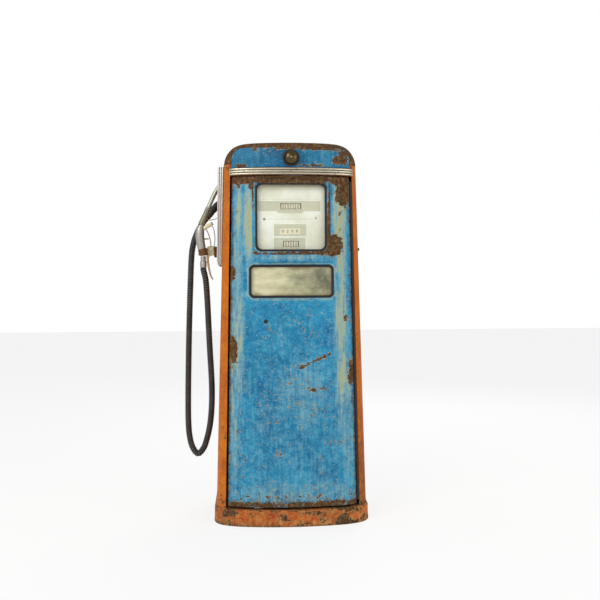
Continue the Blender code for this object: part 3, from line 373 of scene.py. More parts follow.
def shade(piece, **rules):
    # stores how rusted, faded or dirty each point is, and where painted shade lies, from rules on its place
    mesh = piece.data
    for name, rule in rules.items():
        layer = mesh.attributes.new(name, "FLOAT", "POINT")
        layer.data.foreach_set("value", [rule(v.co) for v in mesh.vertices])


def ease(low, high, value):
    t = min(1.0, max(0.0, (value - low) / (high - low)))
    return t * t * (3 - 2 * t)


def spotSum(spots, x, z):
    # strongest of several soft oval spots (x, z, half width, half height, strength)
    best = 0.0
    for cx, cz, rx, rz, strength in spots:
        reach = math.hypot((x - cx) / rx, (z - cz) / rz)
        if reach < 1.6:
            best = max(best, strength * (1 - ease(0.35, 1.6, reach)))
    return best


makeCamera()
makeStudio()
print("camera and studio made")

# finishes
blueEnamel = {
    "deep": "#08648f", "base": "#2c92b8", "faded": "#86b0b4", "bleached": "#a3a982", "primer": "#c6c09a",
    "grimeColour": "#2a1b10", "roughness": 0.52, "chips": 0.664, "scale": 1.0, "mottle": 0.55,
}
fasciaEnamel = dict(blueEnamel, deep="#0a4f74", base="#1f7297", faded="#4f92a8", bleached="#8da79b", chips=0.655)
# on the orange the faded tone is a darker red-brown: painted shade for the right side, away from the key light
orangeEnamel = {
    "deep": "#b0560c", "base": "#d8790f", "faded": "#9c4210", "bleached": "#d29a4c", "primer": "#a8702c",
    "grimeColour": "#3b2010", "roughness": 0.5, "chips": 0.655, "scale": 1.0, "mottle": 0.45,
}
plinthEnamel = {
    "deep": "#9c3a12", "base": "#cb6a20", "faded": "#bd8e50", "bleached": "#d8bf93", "primer": "#b79a62",
    "grimeColour": "#3a2512", "roughness": 0.62, "chips": 0.6, "scale": 1.2, "mottle": 1.25,
}
hoodEnamel = {
    "deep": "#8a4719", "base": "#a95d22", "faded": "#84705a", "bleached": "#9a917f", "primer": "#8a7356",
    "grimeColour": "#33241a", "roughness": 0.7, "chips": 0.565, "scale": 1.2, "mottle": 0.9,
}


def paintedSteel(name, paint):
    # alkyd enamel brushed over primer on pressed steel: mottled and chalky, streaked where rain reaches it,
    # chipped through to tan primer, scabbed with brown rust where the wear is deep; dirt and painted shade
    # darken it, and on the orange the fade tone is a painted shade
    look, tree, shader, place = newLook(name)
    wear, fade, grime = (addNode(tree, "Attribute", attribute_name=layer).outputs["Fac"]
                         for layer in ("wear", "fade", "grime"))
    size = paint["scale"]
    cloud = addNode(tree, "TexNoise", {"Scale": 7 * size, "Detail": 9, "Roughness": 0.66, "Vector": place})
    mottle = addNode(tree, "TexNoise", {"Scale": 38 * size, "Detail": 10, "Roughness": 0.78, "Vector": place})
    rain = addNode(tree, "Mapping", {"Scale": (95, 95, 7), "Vector": place})
    streak = addNode(tree, "TexNoise", {"Scale": 1.0, "Detail": 8, "Roughness": 0.7, "Vector": rain})
    # flakes are 6 to 14 mm across, scabs 20 to 40 mm with ragged edges, flecks 2 to 4 mm
    flake = addNode(tree, "TexNoise", {"Scale": 78 * size, "Detail": 6, "Roughness": 0.66, "Vector": place})
    scab = addNode(tree, "TexNoise", {"Scale": 26 * size, "Detail": 10, "Roughness": 0.68, "Vector": place})
    grit = addNode(tree, "TexNoise", {"Scale": 300, "Detail": 3, "Vector": place})

    depth = addNode(tree, "Math", {0: mottle, 1: 1.1, 2: cloud})
    depth = addNode(tree, "MapRange", {0: depth, 1: 0.86, 2: 1.24})
    tone = addNode(tree, "Mix", {0: depth, 6: toLinear(paint["deep"]), 7: toLinear(paint["base"])})
    run = addNode(tree, "Math", {0: streak, 1: 2.3, 2: -1.15})
    reach = addNode(tree, "Math", {0: fade, 1: 1.3, 2: 0.32})
    run = addNode(tree, "Math", {0: run, 1: reach, 2: fade})
    patchy = addNode(tree, "Math", {0: mottle, 1: 2.8, 2: -1.5})
    chalkAndShade = addNode(tree, "Math", {0: patchy, 1: paint["mottle"], 2: run}, use_clamp=True)
    tone = addNode(tree, "Mix", {0: chalkAndShade, 6: tone, 7: toLinear(paint["faded"])})
    bleach = addNode(tree, "Math", {0: patchy, 1: 0.45, 2: run})
    bleach = addNode(tree, "MapRange", {0: bleach, 1: 0.52, 2: 1.05, 4: 0.92})
    tone = addNode(tree, "Mix", {0: bleach, 6: tone, 7: toLinear(paint["bleached"])})
    spark = addNode(tree, "MapRange", {0: grit, 1: 0.34, 2: 0.29, 4: 0.55})
    tone = addNode(tree, "Mix", {0: spark, 6: tone, 7: toLinear(paint["bleached"])})

    # dirt and painted shade: the grime attribute holds both, and darkens the enamel towards the dark grime colour
    dirtAndShade = addNode(tree, "Math", {0: scab, 1: 1.6, 2: -0.8})
    dirtAndShade = addNode(tree, "Math", {0: grime, 1: dirtAndShade}, operation="ADD")
    dirtAndShade = addNode(tree, "MapRange", {0: dirtAndShade, 1: 0.15, 2: 0.85, 4: 0.96})
    tone = addNode(tree, "Mix", {0: dirtAndShade, 6: tone, 7: toLinear(paint["grimeColour"])})

    field = addNode(tree, "Math", {0: wear, 1: 0.26, 2: flake})
    field = addNode(tree, "Math", {0: scab, 1: 0.3, 2: field})
    level = paint["chips"] + 0.15
    halo = addNode(tree, "MapRange", {0: field, 1: level - 0.02, 2: level - 0.008, 4: 0.85})
    pit = addNode(tree, "MapRange", {0: field, 1: level + 0.008, 2: level + 0.018})
    fleck = addNode(tree, "MapRange", {0: grit, 1: 0.685, 2: 0.72, 4: 0.8})
    patch = addNode(tree, "Math", {0: scab, 1: 1.5, 2: -0.75})
    patch = addNode(tree, "Math", {0: patch, 1: wear}, operation="ADD")
    patch = addNode(tree, "MapRange", {0: patch, 1: 0.5, 2: 0.58})
    rust = addNode(tree, "Math", {0: pit, 1: patch}, operation="MAXIMUM")
    brown = addNode(tree, "Math", {0: rust, 1: fleck}, operation="MAXIMUM")

    speck = addNode(tree, "TexNoise", {"Scale": 70, "Detail": 9, "Roughness": 0.78, "Vector": place})
    rustTone = addNode(tree, "ValToRGB", {0: speck})
    ramp = rustTone.color_ramp
    ramp.elements[0].position, ramp.elements[0].color = 0.34, toLinear("#33200f")
    ramp.elements[1].position, ramp.elements[1].color = 0.7, toLinear("#9a7650")
    ramp.elements.new(0.52).color = toLinear("#5b4229")
    tone = addNode(tree, "Mix", {0: halo, 6: tone, 7: toLinear(paint["primer"])})
    tone = addNode(tree, "Mix", {0: brown, 6: tone, 7: rustTone})

    gloss = addNode(tree, "MapRange", {0: rust, 1: 0.0, 2: 1.0, 3: paint["roughness"], 4: 0.88})
    gloss = addNode(tree, "Math", {0: chalkAndShade, 1: 0.22, 2: gloss}, use_clamp=True)
    lift = addNode(tree, "Math", {0: halo, 1: -0.55, 2: 1.0})
    crust = addNode(tree, "Math", {0: speck, 1: rust, 2: lift})
    crust = addNode(tree, "Math", {0: grit, 1: 0.07, 2: crust})
    bump = addNode(tree, "Bump", {"Strength": 0.55, "Distance": 0.0009, "Height": crust})
    feed(shader, {"Base Color": tone, "Roughness": gloss, "Normal": bump, "Specular IOR Level": 0.22})
    return look


def agedMetal(name, clean, stained, roughness, metallic=1.0, grainScale=160, stains=0.5, bumpDepth=0.0003,
              drawn=(1, 1, 1)):
    # bare or plated metal left outdoors: cloudy oxide, brown stain where the "wear" attribute or the noise is high
    look, tree, shader, place = newLook(name)
    wear = addNode(tree, "Attribute", attribute_name="wear").outputs["Fac"]
    turned = addNode(tree, "Mapping", {"Scale": drawn, "Vector": place})
    cloud = addNode(tree, "TexNoise", {"Scale": 34, "Detail": 9, "Roughness": 0.68, "Vector": turned})
    grain = addNode(tree, "TexNoise", {"Scale": grainScale, "Detail": 6, "Roughness": 0.6, "Vector": turned})
    stain = addNode(tree, "Math", {0: cloud, 1: 2.6, 2: -1.3})
    stain = addNode(tree, "Math", {0: stain, 1: wear}, operation="ADD")
    stain = addNode(tree, "MapRange", {0: stain, 1: 0.5 - 0.5 * stains, 2: 1.0})
    shadeOf = addNode(tree, "MapRange", {0: grain, 1: 0.3, 2: 0.7, 3: 0.72, 4: 1.0})
    cleanTone = addNode(tree, "Mix", {0: 1.0, 6: toLinear(clean), 7: shadeOf}, blend_type="MULTIPLY")
    tone = addNode(tree, "Mix", {0: stain, 6: cleanTone, 7: toLinear(stained)})
    gloss = addNode(tree, "MapRange", {0: stain, 3: roughness, 4: min(0.95, roughness + 0.4)})
    bare = addNode(tree, "MapRange", {0: stain, 3: metallic, 4: metallic * 0.25})
    bump = addNode(tree, "Bump", {"Strength": 0.5, "Distance": bumpDepth, "Height": grain})
    feed(shader, {"Base Color": tone, "Roughness": gloss, "Metallic": bare, "Normal": bump})
    return look


def mouldedStuff(name, colour, dusty, roughness, dust=0.4, grainScale=260, bumpDepth=0.0002):
    # moulded or painted matter with dust in its pores: rubber, bakelite, lacquered drums
    look, tree, shader, place = newLook(name)
    cloud = addNode(tree, "TexNoise", {"Scale": 22, "Detail": 8, "Roughness": 0.7, "Vector": place})
    grain = addNode(tree, "TexNoise", {"Scale": grainScale, "Detail": 5, "Vector": place})
    share = addNode(tree, "MapRange", {0: cloud, 1: 0.4, 2: 0.72, 4: dust})
    tone = addNode(tree, "Mix", {0: share, 6: toLinear(colour), 7: toLinear(dusty)})
    gloss = addNode(tree, "MapRange", {0: share, 3: roughness, 4: min(1.0, roughness + 0.3)})
    bump = addNode(tree, "Bump", {"Strength": 0.5, "Distance": bumpDepth, "Height": grain})
    feed(shader, {"Base Color": tone, "Roughness": gloss, "Normal": bump})
    return look


def hoseRubber():
    # wrapped black rubber hose: dull black, lighter on the crowns of its ribs with dust and a painted highlight
    look, tree, shader, place = newLook("wrappedHoseRubber")
    crown = addNode(tree, "Attribute", attribute_name="crown").outputs["Fac"]
    cloud = addNode(tree, "TexNoise", {"Scale": 14, "Detail": 8, "Roughness": 0.7, "Vector": place})
    grain = addNode(tree, "TexNoise", {"Scale": 420, "Detail": 4, "Vector": place})
    share = addNode(tree, "Math", {0: crown, 1: cloud}, operation="MULTIPLY")
    # rib crowns lighten: dust and a painted highlight
    share = addNode(tree, "MapRange", {0: share, 1: 0.16, 2: 0.5, 4: 0.85})
    tone = addNode(tree, "Mix", {0: share, 6: toLinear("#0d0c0b"), 7: toLinear("#77726a")})
    gloss = addNode(tree, "MapRange", {0: share, 3: 0.55, 4: 0.85})
    bump = addNode(tree, "Bump", {"Strength": 0.4, "Distance": 0.0002, "Height": grain})
    feed(shader, {"Base Color": tone, "Roughness": gloss, "Normal": bump})
    return look


def windowGlass():
    # thin drawn glass: clear, with a mirror share that grows at a slant and a little dust
    look, tree, shader, place = newLook("drawnWindowGlass")
    tree.nodes.remove(shader)
    dust = addNode(tree, "TexNoise", {"Scale": 9, "Detail": 9, "Roughness": 0.7, "Vector": place})
    slant = addNode(tree, "LayerWeight", {"Blend": 0.5})
    slant = addNode(tree, "MapRange", {0: slant.outputs["Facing"], 1: 0.45, 2: 1.0, 3: 0.03, 4: 0.6})
    clear = addNode(tree, "BsdfTransparent", {"Color": (1, 1, 1, 1)})
    mirror = addNode(tree, "BsdfGlossy", {"Roughness": 0.08})
    film = addNode(tree, "BsdfDiffuse", {"Color": toLinear("#cfc9a8")})
    share = addNode(tree, "MapRange", {0: dust, 1: 0.42, 2: 0.8, 4: 0.07})
    mix = addNode(tree, "MixShader", {0: slant, 1: clear, 2: mirror})
    mix = addNode(tree, "MixShader", {0: share, 1: mix, 2: film})
    feed(tree.nodes["Material Output"], {"Surface": mix})
    return look


def signGlass():
    # back-painted opal glass, yellowed by the lamp and stained where damp got in at the right
    look, tree, shader, place = newLook("opalSignGlass")
    smudge = addNode(tree, "Mapping", {"Location": (-1.15, 0, -11.0), "Scale": (8.5, 0.0, 10.0), "Vector": place})
    reach = addNode(tree, "VectorMath", {0: smudge}, operation="LENGTH")
    cloud = addNode(tree, "TexNoise", {"Scale": 18, "Detail": 9, "Roughness": 0.7, "Vector": place})
    drawn = addNode(tree, "Mapping", {"Scale": (12, 1, 34), "Vector": place})
    runs = addNode(tree, "TexNoise", {"Scale": 1.0, "Detail": 5, "Roughness": 0.6, "Vector": drawn})
    damp = addNode(tree, "Math", {0: cloud, 1: 2.4, 2: reach.outputs["Value"]})
    damp = addNode(tree, "MapRange", {0: damp, 1: 2.75, 2: 1.3, 3: 0.0, 4: 0.92})
    share = addNode(tree, "MapRange", {0: runs, 1: 0.35, 2: 0.7})
    tone = addNode(tree, "Mix", {0: share, 6: toLinear("#d8d3ae"), 7: toLinear("#b9b48c")})
    tone = addNode(tree, "Mix", {0: damp, 6: tone, 7: toLinear("#4c5038")})
    # darker towards the pane's edges
    edge = addNode(tree, "Attribute", attribute_name="grime").outputs["Fac"]
    tone = addNode(tree, "Mix", {0: edge, 6: tone, 7: toLinear("#6d5c38")})
    feed(shader, {"Base Color": tone, "Roughness": 0.16, "Coat Weight": 0.5})
    return look


def dialEnamel():
    # white baked enamel on the dial plate, yellowed and flecked, darker at its top and sides with painted shade from
    # the window recess
    look, tree, shader, place = newLook("bakedDialEnamel")
    cloud = addNode(tree, "TexNoise", {"Scale": 9, "Detail": 9, "Roughness": 0.65, "Vector": place})
    fleck = addNode(tree, "TexNoise", {"Scale": 130, "Detail": 4, "Roughness": 0.7, "Vector": place})
    share = addNode(tree, "MapRange", {0: cloud, 1: 0.35, 2: 0.68})
    tone = addNode(tree, "Mix", {0: share, 6: toLinear("#f6f8ea"), 7: toLinear("#e4e6cc")})
    spots = addNode(tree, "MapRange", {0: fleck, 1: 0.7, 2: 0.76, 4: 0.7})
    tone = addNode(tree, "Mix", {0: spots, 6: tone, 7: toLinear("#8d8158")})
    # painted shade at the plate's top and sides
    edge = addNode(tree, "Attribute", attribute_name="grime").outputs["Fac"]
    tone = addNode(tree, "Mix", {0: edge, 6: tone, 7: toLinear("#9b906a")})
    feed(shader, {"Base Color": tone, "Roughness": 0.38})
    return look


looks = {
    "blue": paintedSteel("brushedBlueEnamel", blueEnamel),
    "fascia": paintedSteel("deepBlueFasciaEnamel", fasciaEnamel),
    "orange": paintedSteel("brushedOrangeEnamel", orangeEnamel),
    "plinth": paintedSteel("redOrangeEnamelOnCastSkirt", plinthEnamel),
    "hood": paintedSteel("burntOrangeEnamelRustedThrough", hoodEnamel),
    "sideTrim": agedMetal("brightSideStrip", "#dcdcd2", "#6a6455", 0.3, 0.8, 220, 0.2, 0.00015),
    "trim": agedMetal("dullBrightTrimStrip", "#d6ccb2", "#2c2013", 0.3, 0.85, 220, 0.35, 0.00015),
    # the dome's dark bronze is partly its own tone and partly a painted dark reflection
    "knob": agedMetal("darkBronzeDomeWithPaintedReflection", "#5f5036", "#2b1f10", 0.22, 1.0, 120, 0.75, 0.0001),
    "castSilver": agedMetal("sandCastAluminium", "#bdbab2", "#6f675a", 0.44, 0.9, 300, 0.4, 0.0004),
    "rustedIron": agedMetal("rustedIronCollar", "#7b5233", "#4c2f1c", 0.75, 0.3, 200, 0.8, 0.0006),
    "spout": agedMetal("tarnishedSpoutTube", "#b9bba8", "#7c765e", 0.4, 0.75, 150, 0.45, 0.0002, (1, 1, 0.3)),
    "sleeve": agedMetal("weatheredSpoutSleeve", "#8f8f78", "#574c36", 0.46, 0.6, 150, 0.55, 0.0003),
    "brass": agedMetal("tarnishedBrass", "#b7a678", "#6b5a35", 0.42, 0.7, 180, 0.4),
    "steel": agedMetal("zincPlatedSteel", "#a9abab", "#6f5a44", 0.42, 0.95, 240, 0.2),
    "darkIron": agedMetal("blackenedIron", "#3a3a3c", "#4b3524", 0.62, 0.6, 160, 0.3, 0.0005),
    "castIron": agedMetal("greyCastIron", "#5b5e60", "#4a3829", 0.66, 0.55, 190, 0.3, 0.0007),
    "cream": mouldedStuff("creamLacqueredSteel", "#f0e6bd", "#b8a670", 0.42, 0.4),
    "drum": mouldedStuff("ivoryNumberDrum", "#ece6c8", "#d2c9a2", 0.45, 0.4),
    "band": mouldedStuff("printedDialBand", "#cfd0b6", "#bcb999", 0.45, 0.5),
    "ink": mouldedStuff("blackEnamelInk", "#23231f", "#3c3a33", 0.5, 0.3),
    "greyInk": mouldedStuff("faintGreyEnamelInk", "#b4b59c", "#c3c4ad", 0.5, 0.7),
    "gasket": mouldedStuff("perishedGlazingRubber", "#1e1915", "#3f3022", 0.72, 0.5),
    "rubber": mouldedStuff("mouldedBlackRubber", "#1d1d1d", "#45413a", 0.62, 0.4),
    "greyPaint": mouldedStuff("greyHammerLacquer", "#5d676b", "#4a463c", 0.4, 0.4, 90, 0.0005),
    "pocket": mouldedStuff("blackPressedPocket", "#1f1d1b", "#46341f", 0.6, 0.5),
    "opal": mouldedStuff("opalLampGlass", "#efefe6", "#d8d4c0", 0.25, 0.3),
    "hose": hoseRubber(), "glass": windowGlass(), "sign": signGlass(), "dial": dialEnamel(),
}
print("finishes made:", len(looks))

# hose
hose = {"radius": 0.0152, "ribHeight": 0.0012, "ribPitch": 0.011, "sides": 18, "steps": 4}
wall = -halfWidth
swivelFoot = 1.167
swivelOut = 0.0588
outletAt = (0.062, 1.478)


def outletElbow():
    y, z = outletAt
    x = wall * shrink(z)
    return [(x + 0.0483, y, z), (x - 0.01, y, z), (x - 0.035, y, 1.466), (x - 0.0545, 0.058, 1.44)]


def hoseRoute():
    elbow = smoothLine(outletElbow(), 4)
    start, along = elbow[-1], (elbow[-1] - elbow[-2]).normalized()
    route = [start + along * 0.0017, start + along * 0.022]
    return route + [(wall - out, y, z) for out, y, z in (
        (0.056, 0.057, 1.392), (0.08, 0.055, 1.357), (0.096, 0.053, 1.323), (0.108, 0.051, 1.285),
        (0.118, 0.049, 1.22), (0.1255, 0.046, 1.05), (0.1315, 0.043, 0.87), (0.1355, 0.04, 0.7),
        (0.138, 0.036, 0.54), (0.1375, 0.032, 0.44), (0.1325, 0.027, 0.372), (0.1185, 0.02, 0.3175),
        (0.092, 0.012, 0.2863), (0.065, 0.006, 0.3135), (0.0505, 0.002, 0.352), (0.038, -0.003, 0.402),
        (0.029, -0.007, 0.46), (0.0235, -0.01, 0.543), (0.024, -0.013, 0.64), (0.031, -0.015, 0.78),
        (0.0355, -0.015, 0.88), (0.041, -0.015, 1.01), (0.0475, -0.015, 1.105),
        (swivelOut - 0.001, -0.015, swivelFoot - 0.012), (swivelOut, -0.015, swivelFoot - 0.0009))]


def newTree(name, sockets):
    # an empty node tree with named inputs, typed by their defaults; None stands for a material
    tree = bpy.data.node_groups.new(name, "GeometryNodeTree")
    kinds = {float: "NodeSocketFloat", int: "NodeSocketInt", type(None): "NodeSocketMaterial"}
    tree.interface.new_socket("Geometry", in_out="INPUT", socket_type="NodeSocketGeometry")
    for label, value in sockets.items():
        socket = tree.interface.new_socket(label, in_out="INPUT", socket_type=kinds[type(value)])
        if value is not None:
            socket.default_value = value
    tree.interface.new_socket("Geometry", in_out="OUTPUT", socket_type="NodeSocketGeometry")
    return tree, tree.nodes.new("NodeGroupInput").outputs


def closeTree(tree, grown, material, smooth=True):
    # every tree ends as real geometry that carries its finish
    made = addNode(tree, "GeometryNodeRealizeInstances", {0: grown})
    if smooth:
        made = addNode(tree, "GeometryNodeSetShadeSmooth", {0: made})
    made = addNode(tree, "GeometryNodeSetMaterial", {"Geometry": made, "Material": material})
    feed(tree.nodes.new("NodeGroupOutput"), {0: made})
    return tree


def grow(name, base, tree, values):
    # runs a node tree on a base object and keeps the result as a plain mesh piece
    step = base.modifiers.new("Grow", "NODES")
    step.node_group = tree
    for socket in tree.interface.items_tree:
        if socket.in_out == "INPUT" and socket.name in values:
            step[socket.identifier] = values[socket.name]
    mesh = baked(base)
    bpy.data.objects.remove(base, do_unlink=True)
    mesh.set_sharp_from_angle(angle=math.radians(40))
    return addObject(name, mesh)


def ribbedHoseTree():
    # sweeps a circle along the hose and lifts a helical rib from it
    tree, given = newTree("ribbedHose", {"Radius": 0.015, "Rib Height": 0.0005, "Rib Pitch": 0.009, "Sides": 16,
                                         "Steps": 4, "Material": None})
    pitch = given["Rib Pitch"]
    step = addNode(tree, "Math", {0: pitch, 1: given["Steps"]}, operation="DIVIDE")
    line = addNode(tree, "GeometryNodeResampleCurve", {"Curve": given["Geometry"], "Length": step}, mode="LENGTH")
    ring = addNode(tree, "GeometryNodeCurvePrimitiveCircle", {"Resolution": given["Sides"],
                                                              "Radius": given["Radius"]}, mode="RADIUS")
    kept = []
    for curve, label, measure in ((line, "Way", "Length"), (ring, "Turn", "Factor")):
        held = addNode(tree, "GeometryNodeCaptureAttribute", {"Geometry": curve}, domain="POINT")
        held.capture_items.new("FLOAT", label)
        feed(held, {label: addNode(tree, "GeometryNodeSplineParameter").outputs[measure]})
        kept.append(held.outputs)
    tube = addNode(tree, "GeometryNodeCurveToMesh", {"Curve": kept[0][0], "Profile Curve": kept[1][0],
                                                     "Fill Caps": True})
    phase = addNode(tree, "Math", {0: kept[0]["Way"], 1: pitch}, operation="DIVIDE")
    phase = addNode(tree, "Math", {0: phase, 1: kept[1]["Turn"]}, operation="ADD")
    phase = addNode(tree, "Math", {0: phase, 1: 2 * math.pi}, operation="MULTIPLY")
    wave = addNode(tree, "Math", {0: phase}, operation="SINE")
    lift = addNode(tree, "Math", {0: wave, 1: given["Rib Height"]}, operation="MULTIPLY")
    push = addNode(tree, "VectorMath", {0: addNode(tree, "GeometryNodeInputNormal"), "Scale": lift},
                   operation="SCALE")
    ribbed = addNode(tree, "GeometryNodeSetPosition", {"Geometry": tube, "Offset": push})
    crown = addNode(tree, "GeometryNodeStoreNamedAttribute", {"Geometry": ribbed, "Name": "crown", "Value": wave},
                    data_type="FLOAT", domain="POINT")
    return closeTree(tree, crown, given["Material"])


def makeHose():
    line = smoothLine(hoseRoute(), 6)
    curve = bpy.data.curves.new("hoseLine", "CURVE")
    curve.dimensions = "3D"
    spline = curve.splines.new("POLY")
    spline.points.add(len(line) - 1)
    for point, place in zip(spline.points, line):
        point.co = (*place, 1.0)
    piece = grow("deliveryHose", addObject("hoseLine", curve), ribbedHoseTree(), {
        "Radius": hose["radius"] - hose["ribHeight"], "Rib Height": hose["ribHeight"],
        "Rib Pitch": hose["ribPitch"], "Sides": hose["sides"], "Steps": hose["steps"], "Material": looks["hose"]})
    length = sum((b - a).length for a, b in zip(line, line[1:]))
    print("hose length", round(length, 3))
    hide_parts("hose")
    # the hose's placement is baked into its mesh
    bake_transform(piece)
    tuple(line[0])
    [tuple(p) for p in line]
    return piece


makeHose()
print("hose made")

# front door
door = {
    "low": 0.084, "high": 1.575, "marginLow": 0.0525, "marginHigh": 0.08, "flange": 0.02, "roll": 0.007,
    "cornerRadius": 0.01, "grid": 0.0115,
    "dial": ((0.0, 1.399, 0.342, 0.341, 0.022), (0.0, 1.3925, 0.31, 0.2975, 0.026), 0.022),
    "sign": ((0.0, 1.1035, 0.385, 0.152, 0.02), (0.0, 1.102, 0.367, 0.1335, 0.018), 0.02),
    "lock": (-0.117, 0.922, 0.009),
}
# wear on the door as (x, z, half width, half height, strength)
doorRust = [
    (0.24, 1.5, 0.036, 0.07, 0.85), (0.185, 1.262, 0.05, 0.055, 0.98), (0.15, 1.235, 0.035, 0.022, 0.75),
    (-0.262, 1.137, 0.018, 0.05, 0.7), (-0.262, 0.792, 0.022, 0.075, 0.8), (0.272, 0.69, 0.024, 0.07, 0.75),
    (0.0, 1.56, 0.2, 0.026, 1.15), (-0.225, 1.562, 0.07, 0.024, 1.1), (0.225, 1.562, 0.08, 0.026, 1.05),
    (-0.182, 1.545, 0.016, 0.045, 0.8), (-0.235, 1.54, 0.01, 0.035, 0.75), (0.205, 1.5, 0.012, 0.06, 0.55),
    (0.247, 0.935, 0.016, 0.02, 0.7), (0.22, 1.4, 0.01, 0.12, 0.42), (-0.1, 0.865, 0.02, 0.045, 0.4),
    (-0.155, 1.228, 0.04, 0.012, 0.5), (-0.09, 1.225, 0.06, 0.014, 0.36), (0.05, 0.89, 0.12, 0.12, 0.16),
    (0.06, 0.6, 0.17, 0.15, 0.17), (0.08, 0.62, 0.06, 0.012, 0.46), (-0.02, 0.64, 0.04, 0.012, 0.45),
    (0.09, 0.52, 0.014, 0.04, 0.46), (0.21, 0.37, 0.06, 0.012, 0.48), (-0.06, 0.33, 0.02, 0.016, 0.52),
    (-0.07, 0.475, 0.02, 0.006, 0.55), (0.13, 0.29, 0.012, 0.05, 0.36), (-0.24, 0.3, 0.03, 0.15, 0.28),
]
doorScratches = [((0.04, 0.716), (0.172, 0.774), 0.005, 0.7), ((0.06, 0.602), (0.15, 0.622), 0.0035, 0.5),
                 ((-0.15, 0.56), (-0.105, 0.47), 0.003, 0.4), ((0.19, 0.372), (0.262, 0.388), 0.004, 0.5)]
doorFade = [
    (-0.24, 1.3, 0.02, 0.3, 0.62), (-0.262, 0.7, 0.022, 0.5, 0.6), (0.225, 0.85, 0.03, 0.42, 0.84),
    (0.222, 1.35, 0.026, 0.28, 1.15), (-0.194, 1.36, 0.02, 0.17, 1.15),
    (-0.235, 1.45, 0.012, 0.12, 1.05), (0.195, 1.42, 0.01, 0.12, 0.9), (-0.24, 0.9, 0.026, 0.33, 0.72),
    (0.0, 1.21, 0.17, 0.018, 0.55), (0.0, 0.42, 0.3, 0.42, 0.16), (0.05, 0.6, 0.12, 0.16, 0.34),
    (0.255, 0.45, 0.03, 0.3, 0.5), (-0.15, 1.4, 0.012, 0.15, 0.45), (0.0, 0.15, 0.3, 0.06, 0.35),
]


def doorHalf(z, inset=0.0):
    d = door
    low, high = halfWidth - d["marginLow"], halfWidth - d["marginHigh"]
    return low + (high - low) * (z - d["low"]) / (d["high"] - d["low"]) - inset


def doorOutline(inset):
    # the door's edge moved in by inset, with small round corners and points all along
    low, high = door["low"] + inset, door["high"] - inset
    r = max(0.0005, door["cornerRadius"] - inset)
    corners = [arc(side * (doorHalf(z, inset) - r), z, r, start, start + 90, 5)
               for side, z, start in ((1, low + r, 270), (1, high - r, 0), (-1, high - r, 90), (-1, low + r, 180))]
    loop = []
    for corner, after, gaps in zip(corners, corners[1:] + corners[:1], (90, 34, 90, 34)):
        loop += corner[:-1] + straight(corner[-1], after[0], gaps)
    return loop


def lineReach(x, z, a, b):
    ax, az = b[0] - a[0], b[1] - a[1]
    t = min(1.0, max(0.0, ((x - a[0]) * ax + (z - a[1]) * az) / (ax * ax + az * az)))
    return math.hypot(x - a[0] - t * ax, z - a[1] - t * az)


def windowReach(p):
    # distance out from the edge of the nearer window opening
    gaps = []
    for cx, cz, w, h, r in (door["dial"][1], door["sign"][1]):
        dx, dz = abs(p.x - cx) - w / 2 + r, abs(p.z - cz) - h / 2 + r
        gaps.append(math.hypot(max(dx, 0), max(dz, 0)) + min(max(dx, dz), 0) - r)
    return min(gaps)


def doorWear(p):
    wear = spotSum(doorRust, p.x, p.z)
    for a, b, wide, strength in doorScratches:
        wear = max(wear, strength * (1 - ease(wide, wide * 3.2, lineReach(p.x, p.z, a, b))))
    edge = doorHalf(p.z) - abs(p.x)
    wear = max(wear, 0.42 * (1 - ease(0.001, 0.013, edge)), 0.66 * (1 - ease(0.1, 0.135, p.z)))
    wear = max(wear, 0.4 * (1 - ease(0.12, 0.22, p.z)))
    return -0.8 if windowReach(p) < 0.009 and p.z < 1.543 else wear


# dirt and painted shade on the door: dirt with painted shade along the edges and under the top, dirt low down, a
# painted shadow at the top of the dial recess and painted shade in the window reveals
def doorGrime(p):
    dirtAndShade = 0.75 * (1 - ease(0.002, 0.014, doorHalf(p.z) - abs(p.x)))
    dirtAndShade = max(dirtAndShade, 0.7 * (1 - ease(0.095, 0.13, p.z)), 0.55 * ease(1.555, 1.573, p.z))
    dirtAndShade = max(dirtAndShade, 0.85 * ease(1.541, 1.549, p.z) * (1 - ease(0.16, 0.172, abs(p.x))))
    return max(dirtAndShade, 1.6 * (1 - ease(0.005, 0.011, windowReach(p))))


